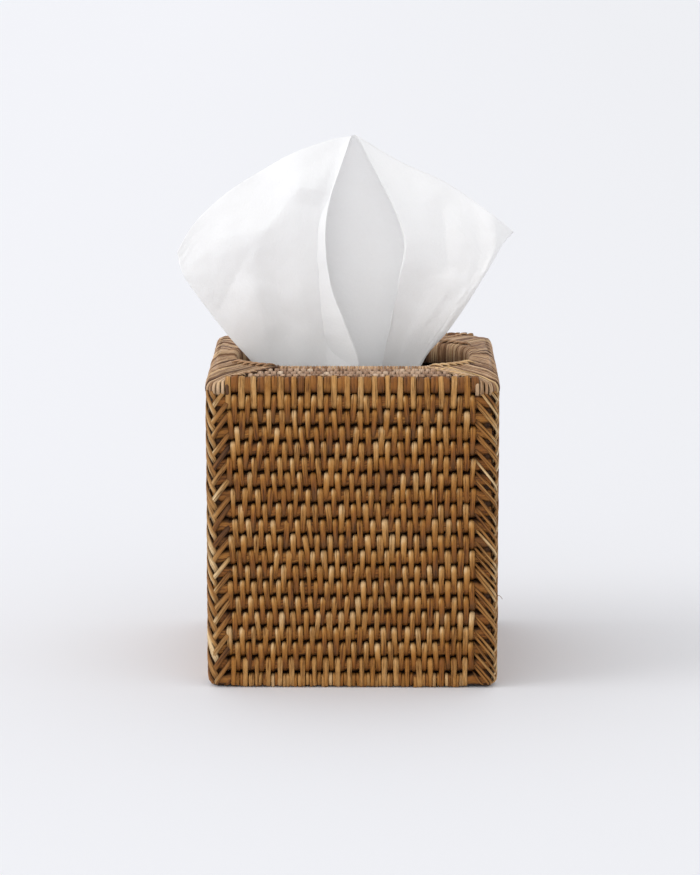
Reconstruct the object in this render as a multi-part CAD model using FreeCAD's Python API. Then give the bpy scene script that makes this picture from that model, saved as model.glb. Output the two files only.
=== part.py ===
import FreeCAD, Part
import math
import os

# Square woven rattan tissue box cover, standing over a cube carton of tissues
# with one tissue pulled up. Millimetres, +Z up, -Y is the front.
# The origin is on the table, in the middle of the base.

# Carton of folded card
carton_width = 112.0
carton_depth = 112.0
carton_height = 127.0
card_thickness = 0.5
carton_edge_radius = 1.0
tear_out_length = 96.0
tear_out_width = 56.0
inner_flap_length = 50.0
seam_tab_width = 12.0
seam_tab_end_gap = 2.0

# Film with the slit, glued under the carton's top
film_length = 108.0
film_width = 72.0
film_thickness = 0.15
slit_length = 84.0
slit_opening = 7.0

# Folded tissues left in the carton
stack_side_gap = 3.5
stack_headroom = 10.35
stack_bend_radius = 22.0

# Weave: round rods lie one above the other, and flat strands stitch them together
weave_thickness = 7.6
weave_groove = 1.6
course_count = 20
side_gap = 6.4
headroom = 17.4
top_course_radius = 3.6

# Corner posts and their lacing, one V to each course
post_width = 10.0
post_corner_radius = 5.0
post_end_radius = 2.2
lacing_rise = 0.9
lacing_strand_width = 3.4
lacing_angle = 45.0
lacing_start = 1.0

# Side rails, wrapped across
wrap_strand_pitch = 5.0
wrap_groove = 0.8
wrap_edge_radius = 3.8

# Opening in the top, with a wrapped lip
opening_depth = 70.0
opening_corner_radius = 28.0
rim_thickness = 4.8
rim_height = 10.0
rim_stands_proud = 0.4
top_rail_courses = 6

# Pulled-up tissue
sheet_side = 200.0
sheet_thickness = 0.6
sheet_clearance = 0.3
sheet_width_on_stack = 98.0
sheet_left_in_slit = -33.0
sheet_right_in_slit = 29.0
sheet_tail = 58.0
sheet_foot = 9.0
sheet_stations = [0.0, 13.0, 37.0, 57.0, 78.0, 106.0, 140.0]

# Fold lines of the tissue above the slit, from the left edge to the right edge.
# After its name comes how far the line stands forward in the slit, in half openings
# of the slit. The points run from the rim of the opening to the free edge, as x, y and
# the height over the cover's top, in hundredths of the sheet's side.
fold_lines = [
    ("left edge", 0,
     [(-25, 0, -2), (-31, -1, 5), (-37, -2, 13), (-42, -2.5, 20.5), (-43.5, -2, 26)]),
    ("left wing", 0.06,
     [(-22.5, -0.5, -2), (-27, -1.5, 6.5), (-32, -2.5, 16), (-37, -2.5, 25.5), (-40, -1.5, 32)]),
    ("left belly", 0.09,
     [(-19.5, -0.5, -2), (-22, -2, 7.5), (-25.5, -3.5, 18.5), (-29, -3.5, 29), (-32.5, -0.5, 39.5)]),
    ("left inner", 0.09,
     [(-15.5, -0.5, -2), (-17, -1.5, 7.5), (-19, -2.5, 18), (-21.5, -3.5, 30), (-22.5, 0.5, 46)]),
    ("left crease", 0,
     [(-11.5, 0, -2), (-11.5, -0.5, 7.5), (-12.5, -1, 18), (-13, -2, 35), (-13, 0.5, 51)]),
    ("strip left", 0.06,
     [(-7, -0.5, -2), (-6.5, -0.5, 8), (-8, -0.5, 18.5), (-8, -1, 35), (-6, 0, 54)]),
    ("strip ridge", 0.29,
     [(-0.5, -2.5, -2), (-3, -3, 8.5), (-5.5, -3, 19), (-6, -2.5, 35), (-2.5, -1, 54.5)]),
    ("left valley", -0.17,
     [(-7, 1.5, -2), (-11, 2, 7), (-14.5, 2.5, 17.5), (-12.5, 2, 34), (-2, 1.5, 54)]),
    ("centre panel", -0.23,
     [(2, 2, -2), (1.5, 3, 7.5), (1, 4, 17.5), (0.5, 4, 34.5), (0, 2.5, 54.5)]),
    ("right valley", -0.17,
     [(12, 2, -2), (15.5, 3, 7.5), (18.5, 4, 17.5), (16, 3, 33.5), (2, 1.5, 54)]),
    ("right ridge", 0.23,
     [(7, -2, -2), (9, -2.5, 8.5), (11, -3, 19), (12, -3, 31), (3, -1, 54)]),
    ("right dent", 0.06,
     [(10, -0.5, -2), (14.5, -1, 8.5), (18, -1, 18), (19.5, -0.5, 30.5), (12, 0, 48)]),
    ("right wing", 0,
     [(12.5, 0, -2), (18.5, -1.5, 8.5), (24, -2.5, 18), (26.5, -2.5, 29), (22, -0.5, 43.5)]),
    ("right outer", -0.06,
     [(15, 0.5, -2), (21, -1.5, 7), (27, -3, 16), (31, -3.5, 25.5), (29, -1.5, 39)]),
    ("right fold", -0.06,
     [(16.5, 0.5, -2), (22, -1.5, 6.5), (28.5, -3, 15.5), (34, -3.5, 26), (34.5, -2, 35)]),
    ("right edge", 0,
     [(17.5, 1, -1.5), (23.5, -1, 6.5), (30, -2, 16), (36, -1.5, 26.5), (39.5, 2.5, 30.5)]),
]

# Sizes that follow from the ones above
cover_width = carton_width + 2 * (side_gap + weave_thickness)
cover_depth = carton_depth + 2 * (side_gap + weave_thickness)
cover_height = carton_height + headroom + weave_thickness
course_pitch = cover_height / course_count
side_wall_courses = course_count - 1
side_wall_height = side_wall_courses * course_pitch
inner_half_width = cover_width / 2 - weave_thickness
inner_half_depth = cover_depth / 2 - weave_thickness
opening_width = 2 * (inner_half_width - rim_thickness)
rim_top = cover_height + rim_stands_proud
stack_width = carton_width - 2 * (card_thickness + stack_side_gap)
stack_depth = carton_depth - 2 * (card_thickness + stack_side_gap)
stack_bottom = 2 * card_thickness
film_bottom = carton_height - card_thickness - film_thickness
stack_top = film_bottom - stack_headroom


def vector(x, y, z):
    return FreeCAD.Vector(x, y, z)


def face_of(edges):
    return Part.Face(Part.Wire(edges))


def line(start, end):
    return Part.LineSegment(start, end).toShape()


def arc(start, middle, end):
    return Part.Arc(start, middle, end).toShape()


def strip(first, second):
    """Ruled surface between two edges that run the same way."""
    same_way = 1
    return Part.makeRuledSurface(first, second, same_way)


def box(low, high):
    size = high - low
    return Part.makeBox(size.x, size.y, size.z, low)


def one_solid(shape):
    """The only solid of a shape, with faces that lie in one surface joined."""
    return shape.removeSplitter().Solids[0]


def turned(shape, angle):
    """A copy of the shape turned about the cover's middle line."""
    copy = shape.copy()
    copy.rotate(vector(0, 0, 0), vector(0, 0, 1), angle)
    return copy


def scallops(at, level, lean, start, pitch, count, step):
    """Arcs in a row, one over each rod. They run along from start, each with its
    crest at the level and its ends lower by the lean."""
    edges = []
    for number in range(count):
        first = start + number * pitch * step
        last = first + pitch * step
        middle = (first + last) / 2
        edges.append(arc(at(level + lean, first), at(level, middle), at(level + lean, last)))
    return edges


# Woven panels

def mat_face(at, count, outer_count, round_over):
    """Section of a woven mat across its rods. The function at() turns a depth under
    the outer face and a distance along the mat into a point."""
    length = count * course_pitch
    near = weave_groove
    far = weave_thickness - weave_groove
    edges = scallops(at, 0.0, near, 0.0, course_pitch, outer_count, 1)
    if round_over:
        edges += rounded_last_course(at, length)
    else:
        edges.append(line(at(near, length), at(far, length)))
    inner_start = outer_count * course_pitch
    edges += scallops(at, weave_thickness, -near, inner_start, course_pitch, outer_count, -1)
    edges.append(line(at(far, 0.0), at(near, 0.0)))
    return face_of(edges)


def rounded_last_course(at, length):
    """Last course of a front or back wall. It turns over the top edge, and its
    inner face is flat, against the top rail."""
    groove_line = length - course_pitch
    far = weave_thickness - weave_groove
    radius = top_course_radius
    shoulder = length - radius
    bulge = radius * (1 - math.cos(math.radians(45)))
    middle = (groove_line + shoulder) / 2
    return [
        arc(at(weave_groove, groove_line), at(weave_groove * 0.35, middle), at(0.0, shoulder)),
        arc(at(0.0, shoulder), at(bulge, length - bulge), at(radius, length)),
        line(at(radius, length), at(weave_thickness, length)),
        line(at(weave_thickness, length), at(weave_thickness, groove_line)),
        line(at(weave_thickness, groove_line), at(far, groove_line)),
    ]


def make_wall(length, distance, angle, count, round_over):
    """A wall panel between two corner posts, its outer face at the distance from
    the cover's middle."""
    outer_count = count - 1 if round_over else count
    face = mat_face(lambda depth, run: vector(-length / 2, depth - distance, run),
                    count, outer_count, round_over)
    return turned(face.extrude(vector(length, 0, 0)), angle)


def make_top_rail(angle):
    """A woven top panel, from the wall's top course in to the opening's lip."""
    half = inner_half_width
    start = -inner_half_depth
    face = mat_face(lambda depth, run: vector(-half, start + run, cover_height - depth),
                    top_rail_courses, top_rail_courses, False)
    slab = face.extrude(vector(2 * half, 0, 0))
    slab = slab.cut(rounded_prism(rim_thickness, 0.0, rim_top))
    return turned(slab.Solids[0], angle)


# Opening and its lip

def rounded_prism(grow, bottom, top):
    """Prism over the opening's outline, grown sideways."""
    half_x = opening_width / 2 + grow
    half_y = opening_depth / 2 + grow
    prism = box(vector(-half_x, -half_y, bottom), vector(half_x, half_y, top))
    upright = [edge for edge in prism.Edges if abs(edge.tangentAt(edge.FirstParameter).z) > 0.5]
    return prism.makeFillet(opening_corner_radius + grow, upright)


def rim_section(place):
    """Section of the lip: flat sides, a flat lower edge and a full round top."""
    radius = rim_thickness / 2
    bottom = rim_top - rim_height
    shoulder = rim_top - radius
    return face_of([
        line(place(0.0, bottom), place(0.0, shoulder)),
        arc(place(0.0, shoulder), place(radius, rim_top), place(rim_thickness, shoulder)),
        line(place(rim_thickness, shoulder), place(rim_thickness, bottom)),
        line(place(rim_thickness, bottom), place(0.0, bottom)),
    ])


def make_opening_rim():
    """Lip round the opening, as four straight runs and four bends."""
    radius = opening_corner_radius
    run_x = opening_width / 2 - radius
    run_y = opening_depth / 2 - radius
    front = rim_section(lambda out, z: vector(-run_x, -opening_depth / 2 - out, z))
    right = rim_section(lambda out, z: vector(opening_width / 2 + out, -run_y, z))
    half = front.extrude(vector(2 * run_x, 0, 0))
    half = half.fuse(right.extrude(vector(0, 2 * run_y, 0)))
    half = half.fuse(right.revolve(vector(run_x, -run_y, 0), vector(0, 0, -1), 90))
    back_right = right.translated(vector(0, 2 * run_y, 0))
    half = half.fuse(back_right.revolve(vector(run_x, run_y, 0), vector(0, 0, 1), 90))
    return one_solid(half.fuse(turned(half, 180)))


# Side rails

def make_rail_wrap(angle, distance, length):
    """Rod along the top of a side wall, under strands that are wrapped across it."""
    outer = -distance
    inner = outer + weave_thickness
    bulge = wrap_edge_radius * (1 - math.cos(math.radians(45)))
    shoulder = cover_height - wrap_edge_radius
    start = -length / 2
    bottom = side_wall_height
    section = face_of([
        line(vector(start, outer, bottom), vector(start, outer, shoulder)),
        arc(vector(start, outer, shoulder),
            vector(start, outer + bulge, cover_height - bulge),
            vector(start, outer + wrap_edge_radius, cover_height)),
        line(vector(start, outer + wrap_edge_radius, cover_height), vector(start, inner, cover_height)),
        line(vector(start, inner, cover_height), vector(start, inner, bottom)),
        line(vector(start, inner, bottom), vector(start, outer, bottom)),
    ])
    count = max(1, round(length / wrap_strand_pitch))
    edges = scallops(lambda depth, run: vector(run, outer, cover_height - depth),
                     0.0, wrap_groove, start, length / count, count, 1)
    groove = cover_height - wrap_groove
    edges.append(line(vector(-start, outer, groove), vector(-start, outer, bottom)))
    edges.append(line(vector(-start, outer, bottom), vector(start, outer, bottom)))
    edges.append(line(vector(start, outer, bottom), vector(start, outer, groove)))
    strands = face_of(edges).extrude(vector(0, weave_thickness, 0))
    rod = section.extrude(vector(length, 0, 0))
    return turned(one_solid(rod.common(strands)), angle)


# Corner posts

def post_block(inset):
    """Upright post with its outer corner on the z axis, rounded and drawn in by the inset."""
    block = box(vector(inset, inset, 0), vector(post_width, post_width, cover_height - inset))
    upright = [edge for edge in block.Edges
               if edge.BoundBox.ZLength > cover_height / 2
               and edge.CenterOfMass.x < post_width / 2 and edge.CenterOfMass.y < post_width / 2]
    block = block.makeFillet(post_corner_radius - inset, upright)
    end = [edge for edge in block.Edges
           if edge.BoundBox.ZMin > cover_height / 2
           and edge.BoundBox.XMin < post_width - 0.1 and edge.BoundBox.YMin < post_width - 0.1]
    return block.makeFillet(post_end_radius, end)


def make_corner_post():
    """Post with one V of lacing to each course, low at the corner."""
    strand_radius = (lacing_strand_width ** 2 / 4 + lacing_rise ** 2) / (2 * lacing_rise)
    slope = math.tan(math.radians(lacing_angle))
    reach = post_width + 2 * strand_radius
    run = vector(reach, 0, reach * slope)
    strands = []
    for course in range(-2, course_count):
        foot = lacing_start + course * course_pitch - strand_radius * slope
        start = vector(-strand_radius, strand_radius, foot)
        strands.append(Part.makeCylinder(strand_radius, run.Length, start, run))
        mirrored_start = vector(strand_radius, -strand_radius, foot)
        mirrored_run = vector(0, run.x, run.z)
        strands.append(Part.makeCylinder(strand_radius, run.Length, mirrored_start, mirrored_run))
    lacing = strands[0].fuse(strands[1:]).common(post_block(0.0))
    post = post_block(lacing_rise).fuse(lacing)
    notch = box(vector(weave_thickness, weave_thickness, cover_height - weave_thickness),
                vector(post_width, post_width, cover_height))
    return one_solid(post.cut(notch))


# Carton and what it holds

def make_carton():
    """Folded card cube, with glued bottom flaps, a glued side seam and a tear-out oval."""
    half_x = carton_width / 2
    half_y = carton_depth / 2
    card = card_thickness
    outside = box(vector(-half_x, -half_y, 0), vector(half_x, half_y, carton_height))
    upright = [edge for edge in outside.Edges if edge.BoundBox.ZLength > carton_height / 2]
    outside = outside.makeFillet(carton_edge_radius, upright)
    inside = box(vector(card - half_x, card - half_y, card),
                 vector(half_x - card, half_y - card, carton_height - card))
    upright = [edge for edge in inside.Edges if edge.BoundBox.ZLength > carton_height / 2]
    inside = inside.makeFillet(carton_edge_radius - card, upright)
    shell = outside.cut(inside)
    for side in (-1, 1):
        fold = side * (half_x - card)
        end = side * (half_x - card - inner_flap_length)
        flap = box(vector(min(fold, end), card - half_y, card),
                   vector(max(fold, end), half_y - card, 2 * card))
        shell = shell.fuse(flap)
    tab = box(vector(half_x - card - seam_tab_width, half_y - 2 * card, seam_tab_end_gap),
              vector(half_x - card, half_y - card, carton_height - seam_tab_end_gap))
    shell = shell.fuse(tab.common(outside))
    return one_solid(shell.cut(tear_out_prism()))


def tear_out_prism():
    """Prism over the oval that is torn out of the carton's top."""
    radius = tear_out_width / 2
    run = tear_out_length / 2 - radius
    bottom = carton_height - card_thickness
    outline = [
        line(vector(-run, -radius, bottom), vector(run, -radius, bottom)),
        arc(vector(run, -radius, bottom), vector(run + radius, 0, bottom), vector(run, radius, bottom)),
        line(vector(run, radius, bottom), vector(-run, radius, bottom)),
        arc(vector(-run, radius, bottom), vector(-run - radius, 0, bottom), vector(-run, -radius, bottom)),
    ]
    return face_of(outline).extrude(vector(0, 0, card_thickness))


def make_film():
    """Film under the carton's top. Its slit is pushed open by the tissue."""
    sheet = box(vector(-film_length / 2, -film_width / 2, film_bottom),
                vector(film_length / 2, film_width / 2, film_bottom + film_thickness))
    end = slit_length / 2
    lip = slit_opening / 2
    slit = face_of([
        arc(vector(-end, 0, film_bottom), vector(0, -lip, film_bottom), vector(end, 0, film_bottom)),
        arc(vector(end, 0, film_bottom), vector(0, lip, film_bottom), vector(-end, 0, film_bottom)),
    ])
    return sheet.cut(slit.extrude(vector(0, 0, film_thickness))).Solids[0]


def make_stack():
    """Folded tissues, bent over together, so the top is round to the front and back."""
    block = box(vector(-stack_width / 2, -stack_depth / 2, stack_bottom),
                vector(stack_width / 2, stack_depth / 2, stack_top))
    bends = [edge for edge in block.Edges
             if edge.BoundBox.XLength > stack_width / 2 and edge.BoundBox.ZMin > stack_top / 2]
    return block.makeFillet(stack_bend_radius, bends)


# Pulled-up tissue

def visible_grid():
    """Points of the fold lines above the slit, one list for each line."""
    grid = []
    last = len(fold_lines) - 1
    unit = sheet_side / 100
    for number, (name, forward, points) in enumerate(fold_lines):
        across = sheet_left_in_slit + (sheet_right_in_slit - sheet_left_in_slit) * number / last
        column = [vector(across, -forward * slit_opening / 2, film_bottom)]
        column += [vector(x * unit, y * unit, cover_height + rise * unit) for x, y, rise in points]
        grid.append(column)
    return grid


def front_normals(grid):
    """Unit vectors out of the front of the sheet at the points of the grid."""
    last_column = len(grid) - 1
    last_row = len(grid[0]) - 1
    normals = []
    for i in range(last_column + 1):
        column = []
        for j in range(last_row + 1):
            total = vector(0, 0, 0)
            for left in (i - 1, i):
                for low in (j - 1, j):
                    if 0 <= left < last_column and 0 <= low < last_row:
                        across = grid[left + 1][low] - grid[left][low]
                        up = grid[left][low + 1] - grid[left][low]
                        total += across.cross(up).normalize()
            column.append(total.normalize())
        normals.append(column)
    return normals


def hidden_edges(across, offset):
    """Edges of one line of the sheet inside the carton: up the front of the stack,
    over its bend and back to the foot, where the sheet turns up to the slit."""
    seat = sheet_clearance + sheet_thickness / 2 + offset
    radius = stack_bend_radius + seat
    centre_y = stack_bend_radius - stack_depth / 2
    centre_z = stack_top - stack_bend_radius
    slant = radius * math.cos(math.radians(45))
    tail_end = vector(across, centre_y - radius, centre_z - sheet_tail)
    bend_low = vector(across, centre_y - radius, centre_z)
    bend_middle = vector(across, centre_y - slant, centre_z + slant)
    bend_high = vector(across, centre_y, stack_top + seat)
    foot = vector(across, -sheet_foot, stack_top + seat)
    edges = [line(tail_end, bend_low), arc(bend_low, bend_middle, bend_high), line(bend_high, foot)]
    return edges, tail_end, foot


def sheet_columns(grid, normals, offset):
    """One face of the sheet, as the edges of each fold line with its two end points."""
    columns = []
    last = len(grid) - 1
    for number, (points, outward) in enumerate(zip(grid, normals)):
        across = sheet_width_on_stack * (number / last - 0.5)
        edges, tail_end, foot = hidden_edges(across, offset)
        slit_point = points[0] + vector(0, -offset, 0)
        above = [point + normal * offset for point, normal in zip(points[1:], outward[1:])]
        curve = Part.BSplineCurve()
        curve.interpolate(Points=[foot, slit_point] + above, Parameters=sheet_stations)
        edges.append(curve.toShape())
        columns.append((edges, tail_end, above[-1]))
    return columns


def make_tissue():
    """The pulled-up sheet: strips between its fold lines, front and back, closed at the edges."""
    grid = visible_grid()
    normals = front_normals(grid)
    front = sheet_columns(grid, normals, sheet_thickness / 2)
    back = sheet_columns(grid, normals, -sheet_thickness / 2)
    faces = []
    for side in (front, back):
        for (left, _, _), (right, _, _) in zip(side, side[1:]):
            faces += [strip(a, b) for a, b in zip(left, right)]
    for end in (1, 2):
        for number in range(len(front) - 1):
            near = line(front[number][end], front[number + 1][end])
            far = line(back[number][end], back[number + 1][end])
            faces.append(strip(near, far))
    for number in (0, -1):
        faces += [strip(a, b) for a, b in zip(front[number][0], back[number][0])]
    shell = Part.makeShell(faces)
    shell.sewShape()
    solid = Part.makeSolid(Part.makeShell(shell.Faces))
    if solid.Volume < 0:
        solid.reverse()
    return solid


def build_parts():
    """All pieces by node name."""
    front_length = cover_width - 2 * post_width
    side_length = cover_depth - 2 * post_width
    front_distance = cover_depth / 2
    side_distance = cover_width / 2
    parts = {
        "wall_front": make_wall(front_length, front_distance, 0, course_count, True),
        "wall_right": make_wall(side_length, side_distance, 90, side_wall_courses, False),
        "wall_back": make_wall(front_length, front_distance, 180, course_count, True),
        "wall_left": make_wall(side_length, side_distance, 270, side_wall_courses, False),
        "top_rail_front": make_top_rail(0),
        "top_rail_back": make_top_rail(180),
        "rail_wrap_right": make_rail_wrap(90, side_distance, side_length),
        "rail_wrap_left": make_rail_wrap(270, side_distance, side_length),
        "opening_rim": make_opening_rim(),
        "carton": make_carton(),
        "carton_film": make_film(),
        "tissue_stack": make_stack(),
        "tissue": make_tissue(),
    }
    post = make_corner_post()
    corners = [("front_left", -1, -1, 0), ("front_right", 1, -1, 90),
               ("back_right", 1, 1, 180), ("back_left", -1, 1, 270)]
    for name, side_x, side_y, angle in corners:
        place = vector(side_x * side_distance, side_y * front_distance, 0)
        parts["corner_lacing_" + name] = turned(post, angle).translated(place)
    return parts


if __name__ == "__main__":
    os.makedirs("parts", exist_ok=True)
    for node, shape in build_parts().items():
        shape.exportStep("parts/" + node + ".step")
        print(node, "solids", len(shape.Solids), "valid", shape.isValid(), "volume", round(shape.Volume, 1))
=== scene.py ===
# %% [markdown]
# # A woven tissue box cover, strand by strand
# The cover is made of stacked rods of rattan, tied together by short flat strands that each cross two
# rods. Its corners are laced, its side rails and the lip of its opening are wrapped, and it stands over a
# carton with one tissue pulled up through the slit. This lesson dresses the packed model, which gives
# every size and place, with the real strands.

# %% Load the packed model
import math
import bpy
import numpy as np
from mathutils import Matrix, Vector, noise


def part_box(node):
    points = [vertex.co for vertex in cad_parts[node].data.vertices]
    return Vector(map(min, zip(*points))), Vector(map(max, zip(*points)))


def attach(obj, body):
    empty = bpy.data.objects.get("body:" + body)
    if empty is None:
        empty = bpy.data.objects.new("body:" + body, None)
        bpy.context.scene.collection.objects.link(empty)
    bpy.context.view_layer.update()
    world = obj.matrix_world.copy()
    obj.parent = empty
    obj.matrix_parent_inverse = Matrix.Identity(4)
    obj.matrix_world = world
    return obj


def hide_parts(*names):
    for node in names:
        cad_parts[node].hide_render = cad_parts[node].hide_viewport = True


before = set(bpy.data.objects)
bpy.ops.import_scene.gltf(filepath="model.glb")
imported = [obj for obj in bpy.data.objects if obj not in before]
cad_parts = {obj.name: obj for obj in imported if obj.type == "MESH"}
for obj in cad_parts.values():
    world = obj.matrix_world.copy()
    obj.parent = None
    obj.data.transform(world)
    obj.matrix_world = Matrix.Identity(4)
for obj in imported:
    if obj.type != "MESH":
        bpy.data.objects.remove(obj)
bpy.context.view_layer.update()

# %% [markdown]
# ## The camera
# The photograph looks a little down on the front from about a metre and a half away. A long lens keeps
# the upright edges nearly parallel. The place was worked out from the corners of the front and the top.

# %% Camera
camera_data = bpy.data.cameras.new("camera")
camera_data.sensor_width = 36.0
camera_data.lens = 140.2
camera_data.clip_end = 60.0
camera = bpy.data.objects.new("camera", camera_data)
camera.location = (0.01204, -1.670, 0.4286)
camera.rotation_euler = (math.radians(90 - 10.79), 0.0, math.radians(0.471))
bpy.context.scene.collection.objects.link(camera)
bpy.context.scene.camera = camera
bpy.context.scene.view_settings.view_transform = "Standard"
print("lens", round(camera_data.lens, 1), "mm, camera", round(-camera.location.y, 2), "m in front")

# %% [markdown]
# ## Sizes from the frame
# Nothing is measured twice: the model's own boxes give the size of the cover, the number of rods gives
# their spacing, and the rest follows. Lengths below are in millimetres, and become metres when a mesh is
# made.

# %% Sizes
MM = 0.001


def node_box(node):
    low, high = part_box(node)
    return np.array(low) / MM, np.array(high) / MM


wall_low, wall_high = node_box("wall_front")
rim_low = node_box("opening_rim")[0]
stack_low, stack_high = node_box("tissue_stack")
half_cover = -wall_low[1]
cover_top = wall_high[2]
mat_reach = wall_high[0]
rod_count = 20
rod_pitch = cover_top / rod_count
random = np.random.default_rng(11)
print(f"cover {2 * half_cover:.1f} wide, {cover_top:.1f} high, rods {rod_pitch:.2f} apart")

# %% [markdown]
# ## One strand
# A strand is a short length of split cane: flat below, crowned above. The wraps are thinner cane, and
# the rods are whole and nearly round. A circle would do for all three from afar, but up close the flat
# crown is what catches the light. So each kind gets its own section, a circle that is squared a little.

# %% Strand sections

def section(count, squareness, under):
    """Points round a strand, in half widths and half thicknesses, from the middle of its underside."""
    turn = np.arange(count) * 2 * np.pi / count - np.pi / 2
    across = np.sign(np.cos(turn)) * np.abs(np.cos(turn)) ** squareness
    up = np.sign(np.sin(turn)) * np.abs(np.sin(turn)) ** squareness
    return np.stack([across, np.where(up < 0, up * under, up)], axis=1)


split_cane = section(8, 0.8, 0.7)
thin_cane = section(6, 0.8, 0.8)
whole_rod = section(16, 0.86, 1.0)
print("points round split cane, thin cane and a rod:", len(split_cane), len(thin_cane), len(whole_rod))

# %% [markdown]
# ## Sweeping a batch of strands
# One strand could be a curve with a bevel. There are thousands, so a whole batch is swept at once with
# arrays: a path for each strand, a ring of points round each point of the path, and a cap on each end,
# so that every strand is a closed solid. Three values ride along on the points for the finish: the grain
# (along, around and a number of the strand), the strand's tone, and how deep it lies in the weave.

# %% The sweep

def dark_edges(shape, amount):
    """Depth values round a section, darkest at its edges: painted shade, with some staining, where a strand
    meets its neighbours.
    """
    return amount * np.clip((np.abs(shape[:, 0]) - 0.6) / 0.4, 0, 1)


upward = np.array([0, 0, 1.0])


def unit(vectors):
    """The same directions, each one long."""
    return vectors / np.maximum(np.linalg.norm(vectors, axis=-1, keepdims=True), 1e-9)


def sweep(path, width, thick, shape, tone, out=None, side=None, depth=0.0, ring_depth=0.0, painted_highlight=0.0):
    """A batch of strands along path, an array of strands by points by 3.

    width and thick are full sizes, out or side says which way a strand faces, and the last value makes it paler
    on one side, as a painted highlight."""
    strands, points = path.shape[:2]
    count = len(shape)
    ahead = unit(np.gradient(path, axis=1))
    if side is None:
        side = unit(np.cross(ahead, np.broadcast_to(out, path.shape)))
    side = np.broadcast_to(side, path.shape)
    rise = unit(np.cross(side, ahead))
    width = np.broadcast_to(width, (strands, points))[..., None]
    thick = np.broadcast_to(thick, (strands, points))[..., None]
    ring = (path[:, :, None] + side[:, :, None] * (shape[:, 0] * width / 2)[..., None]
            + rise[:, :, None] * (shape[:, 1] * thick / 2)[..., None])
    number = np.arange(strands * points * count).reshape(strands, points, count)
    near, far = number[:, :-1], number[:, 1:]
    quads = np.stack([near, far, np.roll(far, -1, 2), np.roll(near, -1, 2)], axis=-1)
    step = np.linalg.norm(np.diff(path, axis=1), axis=2)
    along = np.concatenate([np.zeros((strands, 1)), np.cumsum(step, axis=1)], axis=1)
    girth = 1.6 * (width + thick)
    around = (np.arange(count) - count / 2) / count * girth
    seed = random.uniform(0, 900, strands)
    grain = np.stack(np.broadcast_arrays(along[..., None], around, seed[:, None, None]), axis=-1)
    tone = np.asarray(tone, dtype=float)
    tone = tone.reshape(*tone.shape, *[1] * (3 - tone.ndim))
    # A painted highlight: the tone is raised on one side of the strand.
    tone = tone + np.broadcast_to(painted_highlight, (strands, points))[..., None] * np.clip(shape[:, 0] + 0.2, 0, 1)
    # The depth value is what the finish darkens: painted shade, with some stain.
    depth = np.maximum(np.broadcast_to(depth, (strands, points))[..., None], ring_depth)
    full = (strands, points, count)
    return {
        "points": ring.reshape(-1, 3),
        "quads": quads.reshape(-1, 4),
        "caps": np.concatenate([number[:, 0], number[:, -1, ::-1]]),
        "grain": grain.reshape(-1, 3),
        "tone": np.broadcast_to(tone, full).reshape(-1),
        "depth": np.broadcast_to(depth, full).reshape(-1),
    }


print("depth round a thin strand, darkest at its edges:", dark_edges(thin_cane, 0.6).round(2))

# %% [markdown]
# ## The same strands on another side
# The cover's corners are alike, and so are its two rails. Finished objects could be copied and turned,
# but one piece often needs some of its strands turned and others not. So the arrays of a batch are turned
# or mirrored before a mesh is made of them. A plain batch holds a form that was not swept.

# %% Turned, mirrored and plain batches

def turned(batch, angle):
    """The same batch turned about the upright axis."""
    c, s = round(math.cos(math.radians(angle))), round(math.sin(math.radians(angle)))
    x, y, z = batch["points"].T
    return dict(batch, points=np.stack([c * x - s * y, s * x + c * y, z], axis=1))


def mirrored(batch, axis=0):
    """The same batch in a mirror: axis 0 swaps left and right, axis 1 front and back."""
    flip = np.where(np.arange(3) == axis, -1, 1)
    return dict(batch, points=batch["points"] * flip, quads=batch["quads"][:, ::-1],
                caps=batch["caps"][:, ::-1])


def plain_batch(points, quads, grain, tone=0.5, depth=0.0):
    """A batch that isn't swept: a closed form with one tone and one depth all over."""
    count = len(points)
    return {"points": points, "quads": quads, "caps": np.zeros((0, 8), int), "grain": grain,
            "tone": np.full(count, tone), "depth": np.full(count, depth)}


print("a batch that is turned by 90 degrees takes +X to",
      turned({"points": np.array([[1, 0, 0]])}, 90)["points"][0])

# %% [markdown]
# ## From batches to a piece
# All the strands of one side of the cover become one mesh. It could be built face by face with bmesh,
# but with tens of thousands of faces it is much quicker to fill it in one go from arrays. The values for
# the finish are stored as attributes on its points. Nothing is let down below the table, where a pushed
# or rounded strand would otherwise reach.

# %% Piece builder
table_gap = 0.02
print("lowest point of any piece:", table_gap, "mm over the table")


def build_piece(name, batches, material, node):
    """One mesh object from several batches, which stands for one node of the model."""
    points, corners, totals, start = [], [], [], 0
    for batch in batches:
        for faces in (batch["quads"], batch["caps"]):
            corners.append((faces + start).ravel())
            totals.append(np.full(len(faces), faces.shape[1]))
        points.append(batch["points"])
        start += len(batch["points"])
    points, corners, totals = (np.concatenate(part) for part in (points, corners, totals))
    points[:, 2] = np.maximum(points[:, 2], table_gap)
    mesh = bpy.data.meshes.new(name)
    mesh.vertices.add(len(points))
    mesh.vertices.foreach_set("co", (points * MM).astype(np.float32).ravel())
    mesh.loops.add(len(corners))
    mesh.loops.foreach_set("vertex_index", corners.astype(np.int32))
    mesh.polygons.add(len(totals))
    mesh.polygons.foreach_set("loop_start", (np.cumsum(totals) - totals).astype(np.int32))
    mesh.polygons.foreach_set("loop_total", totals.astype(np.int32))
    mesh.update(calc_edges=True)
    mesh.polygons.foreach_set("use_smooth", totals <= 4)
    for key, kind, field in (("grain", "FLOAT_VECTOR", "vector"), ("tone", "FLOAT", "value"),
                             ("depth", "FLOAT", "value")):
        values = np.concatenate([batch[key] for batch in batches]).astype(np.float32)
        mesh.attributes.new(key, kind, "POINT").data.foreach_set(field, values.ravel())
    mesh.materials.append(material)
    piece = bpy.data.objects.new(name, mesh)
    bpy.context.scene.collection.objects.link(piece)
    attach(piece, "root")
    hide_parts(node)
    print(name, "triangles", int((totals - 2).sum()), "valid", not mesh.validate())
    return piece

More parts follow.
